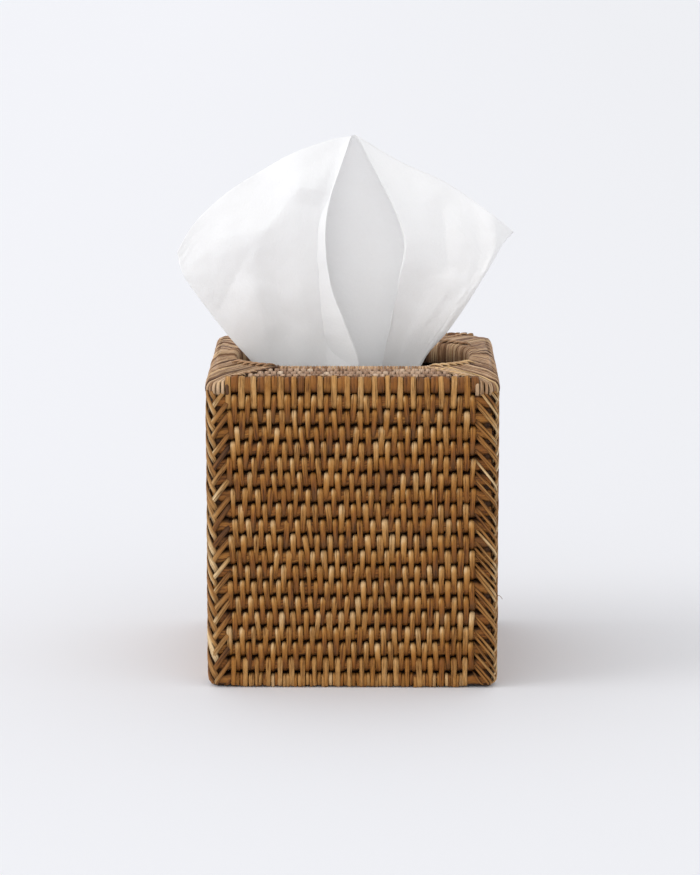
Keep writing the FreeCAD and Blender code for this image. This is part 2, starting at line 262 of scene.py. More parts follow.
# %% [markdown]
# ## Short calls for nodes
# Every finish here is made of nodes. They could be placed by hand in the shader editor. In a script each
# node takes several lines, so a small class makes one and links it in one call, and a finish reads like
# a list of what it does. The sky at the end uses the same calls.

# %% Node calls

def srgb(red, green, blue):
    """A colour written as in an image, as Blender's linear values."""
    linear = [(v / 255 / 12.92) if v <= 10 else ((v / 255 + 0.055) / 1.055) ** 2.4 for v in (red, green, blue)]
    return (*linear, 1.0)


class Nodes:
    """Short calls that add nodes to a tree and link them."""

    def __init__(self, tree):
        self.tree = tree

    def node(self, kind, values=(), **inputs):
        """A node with its settings. Inputs go by name, or as i0, i1, ... by their order."""
        made = self.tree.nodes.new("ShaderNode" + kind)
        for key, value in dict(values).items():
            setattr(made, key, value)
        for key, value in inputs.items():
            socket = made.inputs[int(key[1:]) if key[0] == "i" and key[1:].isdigit() else key.replace("_", " ")]
            if isinstance(value, bpy.types.NodeSocket):
                self.tree.links.new(value, socket)
            else:
                socket.default_value = value
        return made

    def span(self, value, low, high, to_low, to_high):
        """The value, moved from one range to another."""
        made = self.node("MapRange", Value=value)
        for index, limit in zip((1, 2, 3, 4), (low, high, to_low, to_high)):
            made.inputs[index].default_value = limit
        return made.outputs[0]

    def noise(self, vector, scale, stretch=(1, 1, 1), detail=3.0, roughness=0.6):
        moved = self.node("Mapping", Vector=vector, Scale=stretch).outputs[0]
        return self.node("TexNoise", Vector=moved, Scale=scale, Detail=detail, Roughness=roughness).outputs[0]

    def ramp(self, value, stops):
        made = self.node("ValToRGB", Fac=value)
        while len(made.color_ramp.elements) < len(stops):
            made.color_ramp.elements.new(0.5)
        for element, (place, colour) in zip(made.color_ramp.elements, stops):
            element.position = place
            element.color = colour
        return made.outputs[0]

    def mix(self, share, first, second, blend="MIX"):
        made = self.node("Mix", {"data_type": "RGBA", "blend_type": blend}, i0=share)
        for index, value in ((6, first), (7, second)):
            if isinstance(value, bpy.types.NodeSocket):
                self.tree.links.new(value, made.inputs[index])
            else:
                made.inputs[index].default_value = value
        return made.outputs[2]


print("calls for nodes:", [name for name in vars(Nodes) if name[0] != "_"])

# %% [markdown]
# ## Short calls for a finish
# A finish is a tree of nodes too, with one shader at its end that every value goes into. Its sockets
# could be linked one by one. Instead a second class makes the material, finds its shader and adds the
# few calls that only a material needs. The rest it takes from the first class.

# %% Finish calls

class Finish(Nodes):
    """A material with its shader."""

    def __init__(self, name):
        self.material = bpy.data.materials.new(name)
        self.material.use_nodes = True
        super().__init__(self.material.node_tree)
        self.shader = self.tree.nodes["Principled BSDF"]

    def attribute(self, name):
        return self.node("Attribute", {"attribute_name": name})

    def set(self, socket, value):
        if isinstance(value, bpy.types.NodeSocket):
            self.tree.links.new(value, self.shader.inputs[socket])
        else:
            self.shader.inputs[socket].default_value = value

    def bump(self, height, strength, distance):
        self.set("Normal", self.node("Bump", Height=height, Strength=strength, Distance=distance).outputs[0])


print("calls for a finish:", [name for name in vars(Finish) if name[0] != "_"])

# %% [markdown]
# ## The finish of the cane
# Real cane is never one colour. Each strand has its own tone, fibres run along it, and a thin varnish gives a
# soft shine. A picture wrapped round the strands would stretch and repeat. So the colour ramp goes by the
# strand's tone, and a noise that is stretched along the grain gives the fibres. The depth value darkens what
# lies deep, in the grooves and at the tucked ends: painted shade, with some stain. The walls, the lacing and
# the wraps share the same nodes with other colours, and so does the top, whose paler colours are painted light.

# %% Cane material

def cane_finish(name, core, plain, brown, gold, tan, pale, stain_and_shade, fibre=0.6):
    finish = Finish(name)
    grain = finish.attribute("grain").outputs["Vector"]
    tone = finish.attribute("tone").outputs["Fac"]
    depth = finish.attribute("depth").outputs["Fac"]
    patches = finish.noise(grain, 1.0, (0.16, 0.35, 1.0), detail=2.0)
    shifted = finish.node("Math", {"operation": "MULTIPLY_ADD"}, i0=patches, i1=0.34, i2=tone).outputs[0]
    toned = finish.ramp(finish.span(shifted, 0.17, 1.17, 0.0, 1.0),
                        [(0.0, core), (0.24, plain), (0.42, brown), (0.62, gold), (0.8, tan), (1.0, pale)])
    fibres = finish.noise(grain, 1.0, (0.07, 1.5, 1.0), detail=5.0, roughness=0.72)
    streaks = finish.ramp(fibres, [(0.34, (1 - fibre, 1 - fibre * 1.1, 1 - fibre * 1.25, 1)),
                                   (0.5, (0.93, 0.92, 0.9, 1)), (0.64, (1.14, 1.13, 1.1, 1))])
    streaked = finish.mix(1.0, toned, streaks, "MULTIPLY")
    specks = finish.noise(grain, 1.0, (0.9, 2.2, 1.0), detail=3.0)
    speckled = finish.mix(finish.span(specks, 0.66, 0.74, 0.0, 0.55), streaked, stain_and_shade)
    # Deep points are painted towards the dark colour: painted shade in the grooves and at the ends, with some
    # stain.
    colour = finish.mix(finish.span(depth, 0.0, 1.0, 0.0, 0.94), speckled, stain_and_shade)
    finish.set("Base Color", colour)
    finish.set("Roughness", finish.span(fibres, 0.3, 0.7, 0.55, 0.36))
    finish.set("Specular IOR Level", 0.25)
    finish.bump(fibres, 0.9, 0.0004)
    return finish.material


strand_cane = cane_finish("strand_cane", srgb(84, 52, 22), srgb(124, 80, 38), srgb(148, 91, 34),
                          srgb(174, 118, 52), srgb(202, 152, 90), srgb(230, 192, 142), srgb(22, 8, 0), 0.8)
lacing_cane = cane_finish("lacing_cane", srgb(72, 44, 20), srgb(110, 70, 34), srgb(140, 89, 38),
                          srgb(166, 113, 54), srgb(194, 147, 88), srgb(240, 208, 160), srgb(22, 8, 0), 0.8)
wrap_cane = cane_finish("wrap_cane", srgb(84, 54, 32), srgb(138, 98, 66), srgb(174, 132, 96),
                        srgb(208, 168, 130), srgb(226, 190, 152), srgb(244, 204, 146), srgb(30, 12, 4), 0.75)
# The top gets paler, greyer colours: painted light and painted sheen, for its top light and the white that it
# reflects.
top_lit_cane = cane_finish("top_lit_cane", srgb(96, 64, 42), srgb(146, 110, 84), srgb(174, 136, 108),
                         srgb(196, 160, 132), srgb(214, 182, 154), srgb(236, 210, 184), srgb(34, 15, 6))
print("cane finishes:", strand_cane.name, lacing_cane.name, wrap_cane.name, top_lit_cane.name)

# %% [markdown]
# ## Places on a mat
# Each wall is a mat: a stack of rods that lie along it, close together, with rows of strands over them.
# Every wall could be worked out in its own directions. Instead a mat has directions of its own, across,
# down and out, and the walls and the top differ only in where those point. The strands pull each rod a
# little out of line, so every groove between two rods climbs to the right from one strand to the next.

# %% Mats and their places
rod_half_height = 3.84
rod_half_depth = 3.3
crest = -0.85  # how far out a rod reaches, from the face of the cover
rod_centre = crest - rod_half_depth
groove_climb = 0.7
top_spacing, spacing_loss = 6.36, 0.8  # between the strands of a row, from the top row to the last
row_step = 0.36  # how far each row is set to the left, in spaces


class Mat:
    """A flat mat of rods: points on it are given by how far across, down and out they lie."""

    def __init__(self, origin, across, down, out):
        parts = (np.array(part, float) for part in (origin, across, down, out))
        self.origin, self.across, self.down, self.out = parts

    def at(self, across, down, out):
        parts = np.broadcast_arrays(across, down, out)
        across, down, out = (np.asarray(part, float)[..., None] for part in parts)
        return self.origin + across * self.across + down * self.down + out * self.out


def strand_spacing(row):
    """Distance between the strands of a row, which shrinks down the wall."""
    return top_spacing - spacing_loss * row / (rod_count - 1)


def strand_places(row, reach):
    """Where the strands of a row cross the mat, from left to right."""
    spacing = strand_spacing(row)
    shift = 0.0 if row == 0 else (0.5 - row_step * (row - 1)) % 1.0
    first = -reach + 0.4 + shift * spacing
    return np.arange(first, reach - 0.2, spacing)


def groove_shift(across, groove):
    """How far a groove lies from its level: it climbs from strand to strand."""
    if groove < 1 or groove >= rod_count:
        return np.zeros_like(across)
    spacing = strand_spacing(groove - 1)
    share = ((across - strand_places(groove - 1, mat_reach)[0]) / spacing) % 1.0
    return groove_climb * np.interp(share, [0, 0.16, 0.84, 1.0], [0.0, 0.9, -0.9, 0.0])


print("spacing of the strands, first and last row:", strand_spacing(0), round(strand_spacing(rod_count - 1), 2))

# %% [markdown]
# ## The rods of a mat
# A rod fills the room between the groove above it and the groove below it. Straight cylinders would be
# simpler, but their grooves would be ruled lines, and the eye goes to those first. So each rod is swept
# with a height that changes along it, and wanders in and out a little. Light hardly reaches the grooves,
# so a rod's flanks count as deep, and the finish darkens them.

# %% Rods

def rod_batch(mat, courses, low, high, samples, lift=0.0, half_height=rod_half_height):
    """Rods of a mat, each swept from low to high, with dark flanks where the grooves are."""
    across = np.linspace(low, high, samples)
    paths, heights = [], []
    for course in courses:
        above, below = groove_shift(across, course), groove_shift(across, course + 1)
        wander = 0.14 * np.sin(across / 9.0 + course * 2.1) + 0.10 * np.sin(across / 3.7 + course * 5.3)
        middle = (course + 0.5) * rod_pitch + (above + below) / 2 + lift
        paths.append(mat.at(across, middle, rod_centre + wander))
        heights.append(2 * half_height + below - above)
    path = np.array(paths)
    turn = np.abs(whole_rod[:, 0])
    deep = np.where(whole_rod[:, 1] > 0, np.clip((turn - 0.38) / 0.38, 0, 1), 1.0)
    tones = random.normal(0.44, 0.08, len(path))
    return sweep(path, np.array(heights), 2 * rod_half_depth, whole_rod, tones, out=mat.out, ring_depth=deep)


print("a rod is", 2 * rod_half_height, "high and", 2 * rod_half_depth, "deep, one every",
      round(rod_pitch, 2), "mm")

# %% [markdown]
# ## The strands that tie the rods
# A strand comes up out of a groove, lies over two rods and dives into the groove after them. Its upper
# end is full and round and its lower end thin. The next row starts one rod lower and a third of a space
# to the left, which gives the stepped look of the weave. One strand could be made and copied, but copies
# show at once in a weave. So every strand has its own lean, width and tone, and since a maker works with
# one length of cane for a while, the tone also drifts slowly along each row.

# %% Tie strands
tie_path = np.array([
    (0.06, -3.3), (0.10, -2.3), (0.17, -1.35), (0.29, -0.68), (0.47, -0.45), (0.72, -0.5), (1.0, -0.95),
    (1.22, -0.8), (1.45, -0.66), (1.68, -0.92), (1.84, -1.6), (1.93, -2.5), (1.98, -3.4)])
tie_width = np.array([1.7, 2.3, 2.7, 2.85, 2.8, 2.65, 2.55, 2.5, 2.5, 2.45, 2.3, 2.0, 1.7])
# The tone rises at each strand's head and falls towards its tail: painted light on the head and painted shade
# on the tail.
tie_light_and_shade = np.array([0.0, 0.14, 0.2, 0.16, 0.1, 0.04, 0.0, -0.06, -0.12, -0.16, -0.18, -0.18, -0.18])
# A painted highlight on one side of each strand's head.
tie_highlight = np.array([0.0, 0.3, 0.42, 0.34, 0.2, 0.1, 0.05, 0.0, 0.0, 0.0, 0.0, 0.0, 0.0])
tie_thick = np.array([1.1, 1.3, 1.4, 1.4, 1.35, 1.25, 1.1, 1.0, 1.0, 0.95, 0.85, 0.8, 0.7])
# How deep each point lies: the finish darkens the ends with painted shade and some stain.
tie_depth = np.array([1.0, 0.7, 0.25, 0.0, 0.0, 0.02, 0.1, 0.08, 0.1, 0.2, 0.45, 0.8, 1.0])


def lay_strands(mat, places, top, path, width, thick, depth, tone, lean=0.35, painted_highlight=0.0):
    """Strands at places across a mat, along a path of (rods down, height) pairs from the level top."""
    count = len(places)
    bend = random.normal(0, lean, (count, 1)) * (path[:, 0] - path[:, 0].mean())
    curve = random.normal(0, 0.16, (count, 1)) * np.sin(np.pi * np.linspace(0, 1, len(path)))
    down = (top + path[:, 0] + random.normal(0, 0.03, (count, 1))) * rod_pitch
    across = places[:, None] + random.normal(0, 0.14, (count, 1)) + bend + curve
    shift = np.array([[groove_shift(np.array([place]), int(round(top + 1)))[0]] for place in places])
    line = mat.at(across, down + 0.5 * shift, path[:, 1] + random.normal(0, 0.07, (count, 1)))
    wide = width * random.normal(1.0, 0.08, (count, 1))
    return sweep(line, wide, thick * random.normal(1, 0.06, (count, 1)), split_cane, tone, out=mat.out,
                 depth=depth, ring_depth=dark_edges(split_cane, 0.42), painted_highlight=painted_highlight)


def tie_rows(mat, rows, reach):
    """The tie strands of several rows. The first row is darker, and the rest get paler downwards."""
    batches = []
    for row in rows:
        places = strand_places(row, reach)
        middle = 0.47 if row == 1 else 0.53 + 0.05 * row / rod_count
        drift = 0.07 * np.sin(places[:, None] / 13.0 + row * 1.9)
        tone = random.normal(middle, 0.085, (len(places), 1)) + drift + tie_light_and_shade
        painted_highlight = tie_highlight * random.uniform(0.2, 1.1, (len(places), 1))
        batches.append(lay_strands(mat, places, row, tie_path, tie_width, tie_thick, tie_depth, tone,
                                   painted_highlight=painted_highlight))
    return batches


print("strands in the first row:", len(strand_places(1, mat_reach)))

# %% [markdown]
# ## The upper edge and the foot
# Over the upper edge the strands come from the top: narrow pale ones reach down over two rods, and wide
# darker ones fill the spaces between them on the first rod. Round the foot the last long strands go under
# the lowest rod, with two short ones between each pair, so it stands on cane all along. The paths are the
# tie strand's own path, with a part of a circle round the rod added at one end.

# %% Edge strands

def round_rod(angles, middle, half_height, half_depth, grow, square=1.0):
    """Points round a rod: angle 0 faces out, 90 points up, in rods down and height."""
    turn = np.radians(np.array(angles, float))
    up, out = (np.sign(part) * np.abs(part) ** square for part in (np.sin(turn), np.cos(turn)))
    down = middle - (half_height + grow) / rod_pitch * up
    return np.stack([down, rod_centre + (half_depth + grow) * out], axis=1)


edge_half = 3.62
over_edge = round_rod((150, 125, 100, 80, 60, 40, 20, 0), 0.5, edge_half, rod_half_depth, 0.52)
over_first_rods = [(0.78, -0.62), (1.0, -0.95), (1.22, -0.72), (1.45, -0.6)]
edge_long = np.concatenate([over_edge, over_first_rods, tie_path[9:]])
edge_short = np.concatenate([over_edge, round_rod((-20, -40, -58), 0.5, edge_half, rod_half_depth, 0.4)])
foot_half = 3.15
foot_middle = rod_count - 0.5 - 0.02
print("points along an edge strand:", len(edge_long), "for a long one,", len(edge_short), "for a short one")


def edge_strands(mat, reach):
    """Long pale strands and short wide ones in turn, over the upper edge."""
    places = strand_places(0, reach)
    long_depth = np.interp(np.arange(len(edge_long)), [0, 1.5, 3, 12, 14, 15], [1, 0.5, 0.0, 0.05, 0.6, 1.0])
    short_depth = np.interp(np.arange(len(edge_short)), [0, 1.5, 3, 7, 9, 10], [1, 0.5, 0.05, 0.1, 0.6, 1.0])
    between = places + strand_spacing(0) / 2
    long_tone = random.normal(0.74, 0.07, len(places))
    long_batch = lay_strands(mat, places, 0, edge_long, 2.85, 1.1, long_depth, long_tone, 0.2)
    short_tone = random.normal(0.42, 0.08, len(between))
    return [long_batch, lay_strands(mat, between, 0, edge_short, 3.7, 0.8, short_depth, short_tone, 0.1)]


def foot_strands(mat, reach):
    """The last long strands, which go on under the lowest rod, and two short ones after each."""
    row = rod_count - 2
    places = strand_places(row, reach)
    under = round_rod((0, -25, -50, -75, -100, -125, -150), foot_middle, foot_half, rod_half_depth, 0.42, 0.62)
    long_path = np.concatenate([tie_path[:8], under - (row, 0)])
    wide = np.concatenate([tie_width[:8], np.full(len(under), 2.5)])
    thick = np.concatenate([tie_thick[:8], np.full(len(under), 0.75)])
    depth = np.concatenate([tie_depth[:8], np.linspace(0, 0.4, len(under))])
    short_path = np.concatenate([
        round_rod((66, 48, 30, 12), foot_middle, foot_half, rod_half_depth, 0.36),
        round_rod((-10, -32, -55, -78, -101, -124, -150), foot_middle, foot_half, rod_half_depth, 0.36, 0.62)])
    short_depth = np.interp(np.arange(11), [0, 1, 2, 10], [1.0, 0.45, 0.05, 0.3])
    spacing = strand_spacing(row)
    batches = [lay_strands(mat, places, row, long_path, wide, thick, depth,
                           random.normal(0.7, 0.12, len(places)), 0.15)]
    for share in (0.38, 0.68):
        between = places[:-1] + spacing * share
        batches.append(lay_strands(mat, between, 0, short_path, 1.62, 0.66, short_depth,
                                   random.normal(0.7, 0.13, len(between)), 0.1))
    return batches

# %% [markdown]
# ## The four walls
# The front and the back reach the top. The sides stop one rod lower, where the wrapped rail lies on
# them. The rods run on under the lacing of the corner posts. One wall could be made and copied to the
# other three sides, but no two sides of hand work are alike. So each is made facing the front, with new
# chance values, and then turned to its side.

# %% Walls
front_mat = Mat((0, -half_cover, cover_top), (1, 0, 0), (0, 0, -1), (0, -1, 0))
rod_samples = 104
for name, angle, first in (("front", 0, 0), ("right", 90, 1), ("back", 180, 0), ("left", 270, 1)):
    rod_end = mat_reach + (6.6 if first == 0 else 5.2)
    foot_end = rod_end - 1.5
    batches = [rod_batch(front_mat, range(1, rod_count - 1), -rod_end, rod_end, rod_samples),
               rod_batch(front_mat, [rod_count - 1], -foot_end, foot_end, rod_samples - 4, -0.15, foot_half)]
    if first == 0:
        top_end = mat_reach - 0.2
        batches.append(rod_batch(front_mat, [0], -top_end, top_end, rod_samples))
        batches += edge_strands(front_mat, mat_reach)
    batches += tie_rows(front_mat, range(1, rod_count - 2), mat_reach)
    batches += foot_strands(front_mat, mat_reach)
    build_piece(name + "_wall_weave", [turned(batch, angle) for batch in batches], strand_cane,
                "wall_" + name)

# %% [markdown]
# ## The top, in front of and behind the opening
# The same mat carries on over the top, in paler, greyer colours: painted light for its top light, and painted
# sheen for the white that it reflects. It is cut round the opening, and its ends lie under the strands that fan
# out from the opening to the side rails. From the low camera only the tops of its strands show, like three rows
# of scales, so it is made of short strands over one rod each, set close, instead of the long ones of the walls.

# %% Top mats
rim_arc_x, rim_arc_y = 29.6, 7.0
rim_inner_radius, rim_outer_radius = 28.0, 32.8
top_courses = 6
top_start = -half_cover + rod_pitch * (1 + top_courses)
top_mat = Mat((0, top_start, cover_top), (1, 0, 0), (0, -1, 0), (0, 0, 1))


def rim_edge(y):
    """How far the lip reaches sideways at a distance y from the middle line, or 0 past it."""
    rest = rim_outer_radius ** 2 - (abs(y) - rim_arc_y) ** 2
    return rim_arc_x + math.sqrt(rest) if rest > 0 else 0.0


def fan_edge(y):
    """Where the fanned strands of the rail begin, on the top at a distance y from the middle line."""
    return 36.5 + (abs(y) - 36.0) * 0.66


scale_path = np.array([(0.02, -2.6), (0.1, -1.3), (0.26, -0.4), (0.5, 0.0), (0.74, -0.4), (0.9, -1.3),
                       (0.98, -2.6)])
scale_depth = np.array([1.0, 0.6, 0.05, 0.0, 0.05, 0.6, 1.0])


def top_batches():
    """The rods of the top from the opening to the front edge, and the scales on the last three."""
    batches = []
    rod_end = half_cover - rod_pitch + 0.5
    for course in range(top_courses):
        inner = rim_edge(top_start - (course + 0.5) * rod_pitch)
        if inner:
            half = rod_batch(top_mat, [course], inner - 1.0, rod_end, 14)
            batches += [half, mirrored(half)]
        else:
            batches.append(rod_batch(top_mat, [course], -rod_end, rod_end, 96))
    first, spacing = strand_places(0, mat_reach)[0], strand_spacing(0)
    for row, shift in ((3, 0.25), (4, 0.75), (5, 0.25)):
        y = top_start - (row + 0.5) * rod_pitch
        places = np.arange(first + (shift - 1) * spacing / 2, mat_reach, spacing / 2)
        places = places[np.abs(places) < fan_edge(y) - 0.8]
        tone = random.normal(0.62, 0.16, len(places))
        batches.append(lay_strands(top_mat, places, row, scale_path, 2.95, 1.2, scale_depth, tone, 0.25))
    return batches


for name, angle in (("front", 0), ("back", 180)):
    build_piece(name + "_top_weave", [turned(batch, angle) for batch in top_batches()], top_lit_cane,
                "top_rail_" + name)

# %% [markdown]
# ## The corner posts
# Each corner is a squared pole, hidden under its lacing. The lacing could be drawn straight in three
# dimensions, but it is easier to think of it on paper. So the way round the post is unrolled to one
# length, from the front wall to the side wall, and one function bends a point of that paper round it.

# %% Corner posts
post_inner = half_cover - 10.0
post_arc = 5.0
lace_rise = 0.9
flat_run = 5.0
post_way = 2 * flat_run + math.pi / 2 * post_arc


def post_point(way, level, height):
    """A point on the front right post: way round it from the front, level, and height over its face."""
    way, level, height = np.broadcast_arrays(way, level, height)
    turn = np.clip((way - flat_run) / post_arc, 0, math.pi / 2)
    arc_x = half_cover - post_arc
    normal = np.stack([np.sin(turn), -np.cos(turn), np.zeros_like(turn)], axis=-1)
    x = arc_x + np.minimum(way - flat_run, 0)
    y = -arc_x + np.maximum(way - flat_run - math.pi / 2 * post_arc, 0)
    centre = np.stack([x, y, level], axis=-1)
    return centre + normal * (post_arc - lace_rise + height)[..., None], normal


def post_core():
    """The post itself, a squared pole under its lacing."""
    levels = np.array([0.5, 1.1, 2.4, 6.0, 40.0, 76.0, 112.0, 144.0, 147.0, 148.4, 149.0])
    shrink = np.array([0.72, 0.9, 1.0, 1.0, 1.0, 1.0, 1.0, 1.0, 0.97, 0.86, 0.7])
    centre = half_cover - 5.6
    path = np.stack([np.full(len(levels), centre), np.full(len(levels), -centre), levels], axis=1)[None]
    shape = section(24, 0.8, 1.0)
    # The post's depth value darkens it: painted shade, as it lies under the lacing.
    return sweep(path, 7.4 * shrink, 7.4 * shrink, shape, [0.3], side=np.array([1.0, 0, 0]), depth=0.7)


print("way round a post:", round(post_way, 1), "mm")

# %% [markdown]
# ## The lacing of the corners
# The lacing crosses a post in a row of V shapes, one to a rod. The arms of a V meet near the corner, and
# each dives under the next arm from the other side. On the unrolled paper an arm is one slanting line.
# Where it would run past the top or the foot, it is tucked in towards the post. The four corners of the
# real cover differ: some are laced with one broad strand and some with two narrow ones side by side.

# %% Lacing
lacing_top, lacing_foot = cover_top - 6.6, 0.7


def lace_arms(apex, slope, from_front, beside, wide, reach=1.8):
    """The arms of the V shapes on one side of a post, from its mat down to the meeting line."""
    share = np.linspace(0, 1, 16)
    start = -reach if from_front else post_way + reach
    finish = apex + (2.0 if from_front else -2.0)
    climb = slope * abs(finish - start)
    lowest = cover_top + 5.0 - rod_pitch * np.arange(rod_count + 5) - (0 if from_front else 0.5 * rod_pitch)
    count = len(lowest)
    slant = climb * random.normal(1, 0.07, (count, 1))
    way = start + (finish - start) * share + random.normal(0, 0.2, (count, 1))
    level = lowest[:, None] - 2.6 + slant * (1 - share) ** 0.92 + random.normal(0, 0.3, (count, 1)) + beside
    level += random.normal(0, 0.35, (count, 1)) * np.sin(math.pi * share)
    height = np.interp(share, [0, 0.07, 0.18, 0.5, 0.8, 0.93, 1.0], [-1.6, -0.3, 0.4, 0.7, 0.62, -0.1, -0.9])
    height = height + random.normal(0, 0.07, (count, 1))
    keep = (level.max(axis=1) > lacing_foot + 3.5) & (level.min(axis=1) < lacing_top - 3.5)
    over, under = level - lacing_top, 4.2 - level
    height = height - 3.0 * (np.clip(over / 2.0, 0, 1.2) + np.clip(under / 3.5, 0, 1.2) ** 2)
    level = np.clip(level, lacing_foot + 0.25 * np.clip(under, 0, 4), lacing_top + 0.12 * np.clip(over, 0, 4))
    point, normal = post_point(way[keep], level[keep], height[keep])
    each = (len(point), 1)
    width = np.interp(share, [0, 0.15, 0.85, 1], [0.75, 1.0, 1.0, 0.6]) * wide * random.normal(1, 0.08, each)
    depth = np.interp(share, [0, 0.08, 0.2, 0.85, 1], [1, 0.5, 0, 0.05, 0.9])
    tone = random.normal(0.6, 0.13, each) + np.interp(share, [0, 0.3, 0.8, 1], [-0.12, 0.0, 0.12, 0.1])
    # A painted highlight on each arm, near where the arms meet.
    painted_highlight = np.interp(share, [0, 0.5, 0.75, 0.9, 1], [0, 0.0, 0.3, 0.2, 0]) * random.uniform(0, 1.2, each)
    return sweep(point, width, 1.15, split_cane, tone, out=normal, depth=depth,
                 ring_depth=dark_edges(split_cane, 0.7), painted_highlight=painted_highlight)


def lacing(apex, front_slope, side_slope, front_wide, side_wide, strands_beside):
    """A whole lacing: where its V shapes meet, and how steep and wide the arms of each side are."""
    return [lace_arms(apex, slope, from_front, beside, wide)
            for from_front, slope, wide in ((True, front_slope, front_wide), (False, side_slope, side_wide))
            for beside in strands_beside]


def stray_fibre():
    """A hair of cane that has come loose beside the right front corner."""
    path = np.array([[(69.2, -66.0, 45.3), (70.6, -66.3, 45.4), (71.6, -66.5, 45.0), (72.5, -66.6, 43.6)]])
    return sweep(path, 0.26, 0.2, thin_cane, [0.5], out=np.array([0, -1.0, 0]))


single, double = (0.0,), (-1.25, 1.25)
for name, angle, style in (("front_right", 0, (10.6, 1.2, 1.7, 1.35, 1.7, double)),
                           ("back_right", 90, (8.9, 1.45, 1.45, 2.6, 2.6, single)),
                           ("back_left", 180, (8.9, 1.45, 1.45, 1.5, 1.5, double)),
                           ("front_left", 270, (11.3, 1.75, 1.42, 3.3, 2.5, single))):
    batches = [post_core()] + lacing(*style) + ([stray_fibre()] if angle == 0 else [])
    build_piece(name + "_lacing", [turned(batch, angle) for batch in batches], lacing_cane,
                "corner_lacing_" + name)

# %% [markdown]
# ## The two ends of a rail strand
# Each side rail is wrapped with long strands that start inside the opening and end on the outside of the
# cover. Both ends follow a rounded line seen from above: the inner one runs along the lip, round its two
# corners, and the outer one along the side and round onto the front and the back for a few millimetres.
# So one function gives the inner points, and a few lengths describe the outer line.

# %% Ends of the rail strands
lip_turn = math.radians(78)
corner_round = 7.0
corner_turn = math.pi / 2
side_straight = half_cover - corner_round
front_run = 4.4
print("the outer line is", round(2 * (side_straight + corner_round * corner_turn + front_run), 1), "mm long")


def lip_point(turn_share):
    """Points on the lip's inner face on the right side, from front to back, with the way out of it."""
    arc_length = lip_turn * rim_inner_radius
    straight_end = arc_length + 2 * rim_arc_y
    total = 2 * arc_length + 2 * rim_arc_y
    way = turn_share * total
    turn = np.where(way < arc_length, way / rim_inner_radius - lip_turn,
                    np.where(way > straight_end, (way - total) / rim_inner_radius + lip_turn, 0.0))
    y_shift = np.clip(way - arc_length, 0, 2 * rim_arc_y) - rim_arc_y
    out = np.stack([np.cos(turn), np.sin(turn), np.zeros_like(turn)], axis=-1)
    point = np.stack([rim_arc_x + rim_inner_radius * out[:, 0], y_shift + rim_inner_radius * out[:, 1],
                      np.zeros_like(turn)], axis=-1)
    return point, out

# %% [markdown]
# ## The wrapped side rails
# A rail strand climbs over the lip, crosses the rail and goes over the outer edge. The strands lie side
# by side, so only the lines between them show. They could be a pattern on one smooth form, but then the
# edge of the rail would look cut from a board. Each is one path from the inside to the outside, and the
# fan comes from spacing its two ends differently.

# %% Fan of strands
lip_rows = [(1.8, 0.1), (0.55, 0.5), (0.0, 1.7), (0.0, 5.0), (0.1, 7.6), (0.6, 9.2), (1.6, 9.9), (3.0, 9.95),
            (4.6, 9.75)]
outer_rows = [(-1.45, -1.5), (-0.65, -2.6), (-0.15, -3.8), (0.0, -5.1), (-0.1, -6.4), (-0.9, -7.5),
              (-2.6, -8.2)]


def fan_strands(count):
    """The strands of the right rail: up the lip, across the rail in a fan, and down over the edge."""
    share = (np.arange(count) + 0.5) / count
    inner, out = lip_point(share)
    half_way = side_straight + corner_round * corner_turn + front_run
    way = half_way * (2 * share - 1)
    past = np.clip(np.abs(way) - half_way + front_run, 0, None)
    turn = np.clip(np.abs(way) - side_straight, 0, corner_round * corner_turn) / corner_round * np.sign(way)
    edge_out = np.stack([np.cos(turn), np.sin(turn), np.zeros(count)], axis=-1)
    beside = np.clip(way, -side_straight, side_straight)
    outer = np.stack([side_straight - past, beside, np.zeros(count)], axis=-1) + edge_out * corner_round
    lift = random.normal(0, 0.17, count) + 0.12 * np.where(np.arange(count) % 3 == 0, 1, -0.5)
    drop = 1.5 * np.exp(-((np.abs(way) - side_straight - 5.5) / 6.0) ** 2)
    rows, plan = [], []
    for away, level in lip_rows:
        row = inner + out * away
        row[:, 2] = rim_low[2] + level + lift * (away > 0.3)
        rows.append(row)
        plan.append(out)
    start = inner + out * 5.0
    finish = outer - edge_out * 2.4
    straight = unit(finish - start)
    bow = random.normal(0, 0.4, count)
    for step in (0.12, 0.28, 0.45, 0.62, 0.8, 0.93):
        place = start + (finish - start) * step
        place[:, 1] += (bow + 1.2 * np.sign(way) * (np.abs(way) / half_way) ** 2) * math.sin(math.pi * step)
        round_over = 1.1 * max(0.0, (step - 0.62) / 0.31) ** 2
        place[:, 2] = cover_top + 0.45 - 0.3 * math.sin(math.pi * step) - round_over + lift - drop * step ** 2
        rows.append(place)
        plan.append(unit(out * (1 - step) + straight * step))
    for away, level in outer_rows:
        place = outer + edge_out * (away + 0.6 * lift)[:, None]
        place[:, 2] = cover_top + level - drop * max(0.0, 1 + level / 8.2)
        rows.append(place)
        plan.append(edge_out)
    path = np.stack(rows, axis=1)
    plan = unit(np.stack(plan, axis=1))
    side = np.stack([plan[..., 1], -plan[..., 0], np.zeros(plan.shape[:2])], axis=-1)
    points = path.shape[1]
    spacing = 2 * half_way / count
    width = np.interp(np.arange(points), [0, 8, 15, points - 1], [1.5, 1.62, 0.93 * spacing, 0.95 * spacing])
    depth = np.interp(np.arange(points), [0, 2, 5, 17, 20, 21], [0.95, 0.75, 0.0, 0.0, 0.4, 0.9])
    tone = random.normal(0.57, 0.24, count)
    width = width * random.normal(1, 0.12, (count, 1))
    return sweep(path, width, 1.25, thin_cane, tone, side=side, depth=depth,
                 ring_depth=dark_edges(thin_cane, 0.6))


fan_count = 72
print("strands on a side rail:", fan_count)

